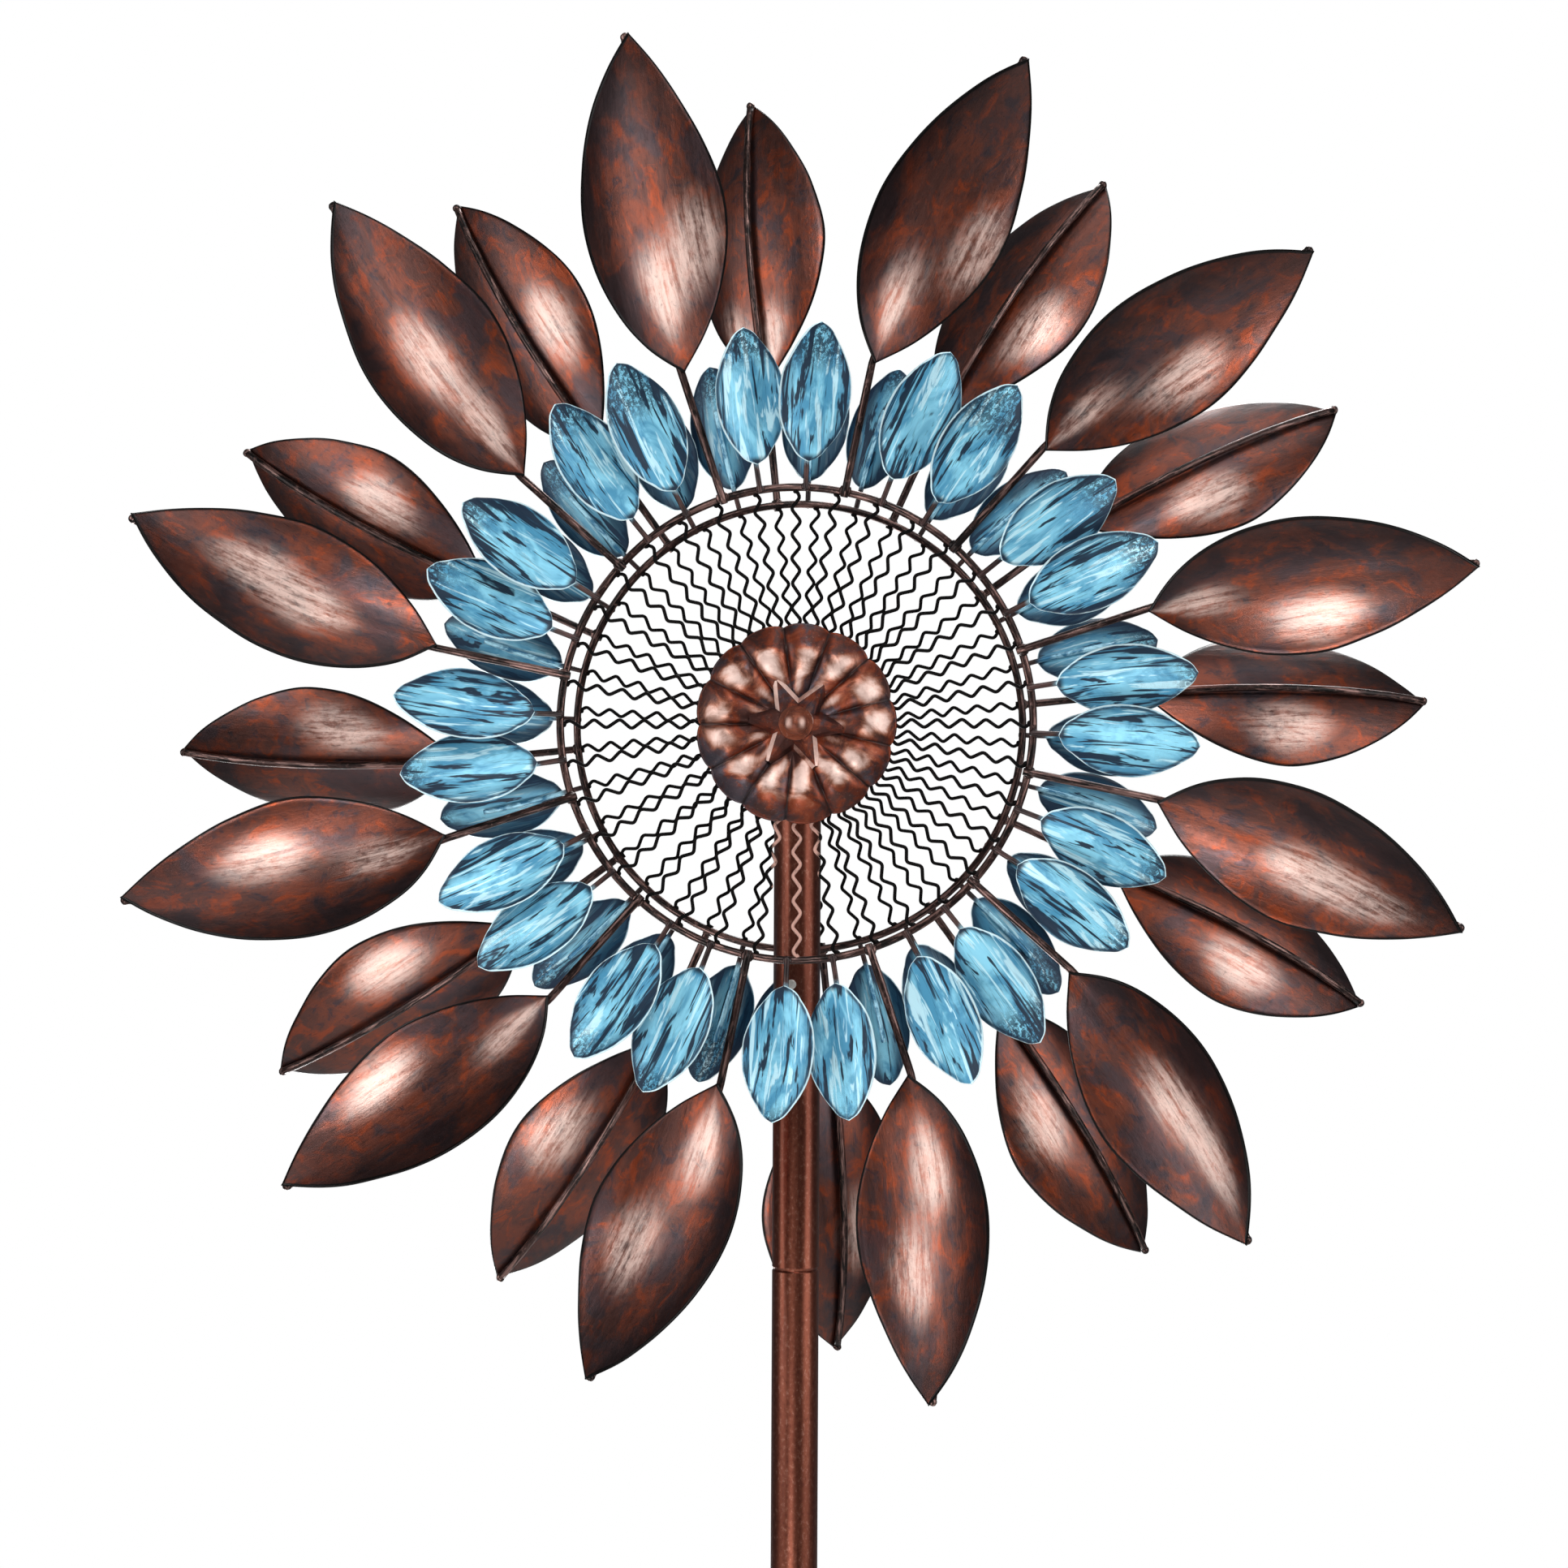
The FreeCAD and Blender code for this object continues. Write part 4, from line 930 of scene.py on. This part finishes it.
def star_patch(star, corners, steps, glow, crease, seed):
    """A four-cornered facet, finely divided and slightly hammered."""
    a, b, c, d = corners
    rows = []
    for i in range(steps + 1):
        near, far = a.lerp(d, i / steps), b.lerp(c, i / steps)
        row = []
        for j in range(steps + 1):
            spot = near.lerp(far, j / steps)
            spot = spot + Vector((0, 0, 0.16 * noise.noise(spot / 3.0 + Vector((seed, 0, 0)))))
            row.append(star.add(spot, place=tuple(spot / PLACE_UNIT), crease=crease, glow=glow))
        rows.append(row)
    star.grid(rows)


def make_star(rotor, material):
    """Six folded points with skirts down to the rosette, round a raised collar."""
    base = hub_face(rotor) + ROSETTE_SHEET
    star = Surface()
    step = math.pi / STAR_POINTS

    def polar(radius, turn, rise):
        return Vector((radius * math.cos(turn), radius * math.sin(turn), base + rise))

    for number in range(STAR_POINTS):
        ridge = math.radians(STAR_TURN) + 2 * step * number
        tip = polar(STAR_R, ridge, STAR_TIP_RISE)
        root = polar(STAR_COLLAR_R - 0.6, ridge, STAR_PEAK_RISE - 0.8)
        for way in (-1, 1):
            valley = polar(STAR_VALLEY_R, ridge + way * step, STAR_VALLEY_RISE)
            inner = polar(STAR_COLLAR_R - 0.6, ridge + way * step, STAR_VALLEY_RISE + 1.6)
            facet = (root, tip, valley, inner) if way > 0 else (inner, valley, tip, root)
            # each facet gets a faint painted highlight
            star_patch(star, facet, 8, 0.12, 0.0, rotor["seed"] + number)
            along = (tip - valley).normalized()
            outward = Vector((along.y, -along.x, 0)) * (-way)
            shine = STAR_SHINE.get((number, way), 0.0)
            low_tip = tip + outward * STAR_SKIRT * 0.8 - Vector((0, 0, 1.6))
            low_valley = polar(STAR_VALLEY_R + STAR_SKIRT, ridge + way * step, 0.4)
            skirt = (valley, tip, low_tip, low_valley)
            # a skirt in STAR_SHINE gets its painted highlight, any other a painted shade
            star_patch(star, skirt if way < 0 else skirt[::-1], 4, shine, 0.0 if shine else 0.55, 3.0)
    profile = ((STAR_COLLAR_R + 0.7, 3.6), (STAR_COLLAR_R + 0.3, 6.9), (STAR_COLLAR_R - 0.4, 7.9),
               (ROSETTE_HOLE_R, 7.4), (ROSETTE_HOLE_R, 0.4))
    rows = []
    sides = 48
    for radius, rise in profile:
        row = []
        for j in range(sides):
            turn = 2 * math.pi * j / sides
            # painted highlight: a bright arc on one side of the collar
            glow = 0.9 * max(0.0, math.cos(turn - 0.2)) ** 6
            row.append(star.add(polar(radius, turn, rise), place=(j / 12, rise / 20, 0.3), crease=0.0,
                                glow=glow))
        rows.append(row)
    star.grid(rows, closed_across=True)
    star.moved(seat(rotor))
    name = rotor["name"] + "_star"
    as_object(star, name + "_points", rotor["name"] + "_rotor", material, [name], flip=rotor["side"] > 0,
              smooth=False)


# ---- stage ---------------------------------------------------------------------------------------

CAMERA_DISTANCE = 1.452      # from the front ring's plane
CAMERA_RIGHT = 0.025         # of the axle
CAMERA_DROP = 0.025          # below the axle
CAMERA_YAW = 1.2             # degrees to the left
CAMERA_PITCH = -0.08         # degrees up
CAMERA_ROLL = 0.28           # degrees, anticlockwise as seen from behind the camera
CAMERA_LENS = 74.4           # millimetres on a 36 mm sensor
FLOOR_RADIUS = 1.7
FLOOR_SIDES = 96
FLOOR_GAP = 0.0005           # below the prongs' tips


def make_camera():
    low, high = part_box("front_ring")
    ring_y = (low.y + high.y) / 2
    data = bpy.data.cameras.new("camera")
    data.lens = CAMERA_LENS
    data.sensor_width = 36.0
    camera = bpy.data.objects.new("camera", data)
    camera.location = (AXLE.x + CAMERA_RIGHT, ring_y - CAMERA_DISTANCE, AXLE.z - CAMERA_DROP)
    level = Euler((math.radians(90 + CAMERA_PITCH), 0, math.radians(CAMERA_YAW))).to_matrix()
    camera.rotation_euler = (level @ Matrix.Rotation(math.radians(CAMERA_ROLL), 3, "Z")).to_euler()
    bpy.context.scene.collection.objects.link(camera)
    bpy.context.scene.camera = camera


def softbox(name, direction, distance, size, power, height=None, drop=0.0):
    """A rectangular area light that points at the middle of the rotors, or 'drop' below it."""
    data = bpy.data.lights.new(name, "AREA")
    data.shape = "RECTANGLE"
    data.size = size
    data.size_y = height or size
    data.energy = power
    lamp = bpy.data.objects.new(name, data)
    way = Vector(direction).normalized()
    lamp.location = Vector((0, 0, AXLE.z - drop)) + way * distance
    lamp.rotation_euler = way.to_track_quat("Z", "Y").to_euler()
    bpy.context.scene.collection.objects.link(lamp)


def make_lights():
    for name, across, up in (("top", 0.1, 0.85), ("bottom", -0.3, -0.75)):
        softbox("front_" + name, (across, -1, up), 2.4, 0.7, 20)
    for name, across in (("left", -1.8), ("right", 1.8)):
        softbox("front_" + name, (across, -1, 0.0), 2.4, 1.5, 33, 2.4, -0.45)
    for name, across, up in (("top", 0.3, 1.0), ("bottom", -0.3, -0.8)):
        softbox("back_" + name, (across, 1, up), 2.6, 1.0, 44)
    softbox("front_fill", (0.12, -1, 0.3), 3.0, 1.6, 4)
    softbox("overhead", (0.2, -0.1, 1), 2.6, 1.6, 16)


def make_world():
    world = bpy.data.worlds.new("studio")
    world.use_nodes = True
    tree = world.node_tree
    tree.nodes.clear()
    seen = tree.nodes.new("ShaderNodeBackground")
    seen.inputs["Color"].default_value = (1, 1, 1, 1)
    fill = tree.nodes.new("ShaderNodeBackground")
    fill.inputs["Color"].default_value = (0.95, 0.97, 1.0, 1)
    fill.inputs["Strength"].default_value = 0.11
    ray = tree.nodes.new("ShaderNodeLightPath")
    mix = tree.nodes.new("ShaderNodeMixShader")
    out = tree.nodes.new("ShaderNodeOutputWorld")
    tree.links.new(ray.outputs["Is Camera Ray"], mix.inputs[0])
    tree.links.new(fill.outputs[0], mix.inputs[1])
    tree.links.new(seen.outputs[0], mix.inputs[2])
    tree.links.new(mix.outputs[0], out.inputs["Surface"])
    bpy.context.scene.world = world
    bpy.context.scene.view_settings.view_transform = "Standard"


def make_floor():
    r = Recipe("floor_paint")
    drift = r.noise(r.object_place((2.0, 2.0, 2.0)), 3.0, 0.5)
    colour = r.mix(r.ramp(drift, 0.3, 0.7), rgb("eeeeec"), rgb("f4f4f3"))
    paint = r.finish(colour, 0.8, r.bump(drift, 0.001, 0.1), 0.0)
    mesh = bpy.data.meshes.new("floor")
    turns = [2 * math.pi * i / FLOOR_SIDES for i in range(FLOOR_SIDES)]
    corners = [(FLOOR_RADIUS * math.cos(turn), FLOOR_RADIUS * math.sin(turn), 0) for turn in turns]
    mesh.from_pydata(corners, [], [tuple(range(FLOOR_SIDES))])
    mesh.materials.append(paint)
    floor = bpy.data.objects.new("floor", mesh)
    floor.location.z = cad_box[0].z - FLOOR_GAP
    bpy.context.scene.collection.objects.link(floor)


def repaint(material, *nodes):
    """A CAD node whose shape is right keeps it and takes a better material."""
    for name in nodes:
        mesh = frame["nodes"][name].data
        mesh.materials.clear()
        mesh.materials.append(material)


leaf_paint = leaf_material()
petal_paint = petal_material()
arm_paint = rod_material("arm_paint", "0e0706", "38231f", "8e6d66", 0.7, 0.30, 0.44)
wire_paint = wire_material()
stem_paint = stem_material()
rosette_paint = rosette_material()
pole_paint = pole_material()
steel = steel_material("bearing_steel", "c8c8cc", "8e8e94", (900.0, 900.0, 900.0), 0.12, 0.25)
plated = steel_material("plated_steel", "e2dfda", "b4b0aa", (700.0, 700.0, 700.0), 0.28, 0.42, 0.35)
nut_paint = nut_material()

for rotor in ROTORS:
    make_leaves(rotor, leaf_paint)
    make_petals(rotor, petal_paint)
    make_arms(rotor, arm_paint)
    make_stems(rotor, stem_paint)
    make_ring(rotor, arm_paint)
    make_wires(rotor, wire_paint)
    make_rosette(rotor, rosette_paint)
    make_star(rotor, rosette_paint)

repaint(pole_paint, "stake_socket", "stake_prongs", "pole_section_1", "pole_section_2", "pole_section_3",
        "head_tube", "head_cap", "axle_housing", "front_hub", "back_hub")
repaint(steel, "bearing_inner_races", "bearing_balls", "front_bearing_outer_races",
        "back_bearing_outer_races")
repaint(plated, "axle", "axle_spacers", "pole_joint_screws", "socket_clamp_screws", "head_lock_screw")
repaint(nut_paint, "axle_washers", "acorn_nuts")

make_camera()
make_lights()
make_world()
make_floor()
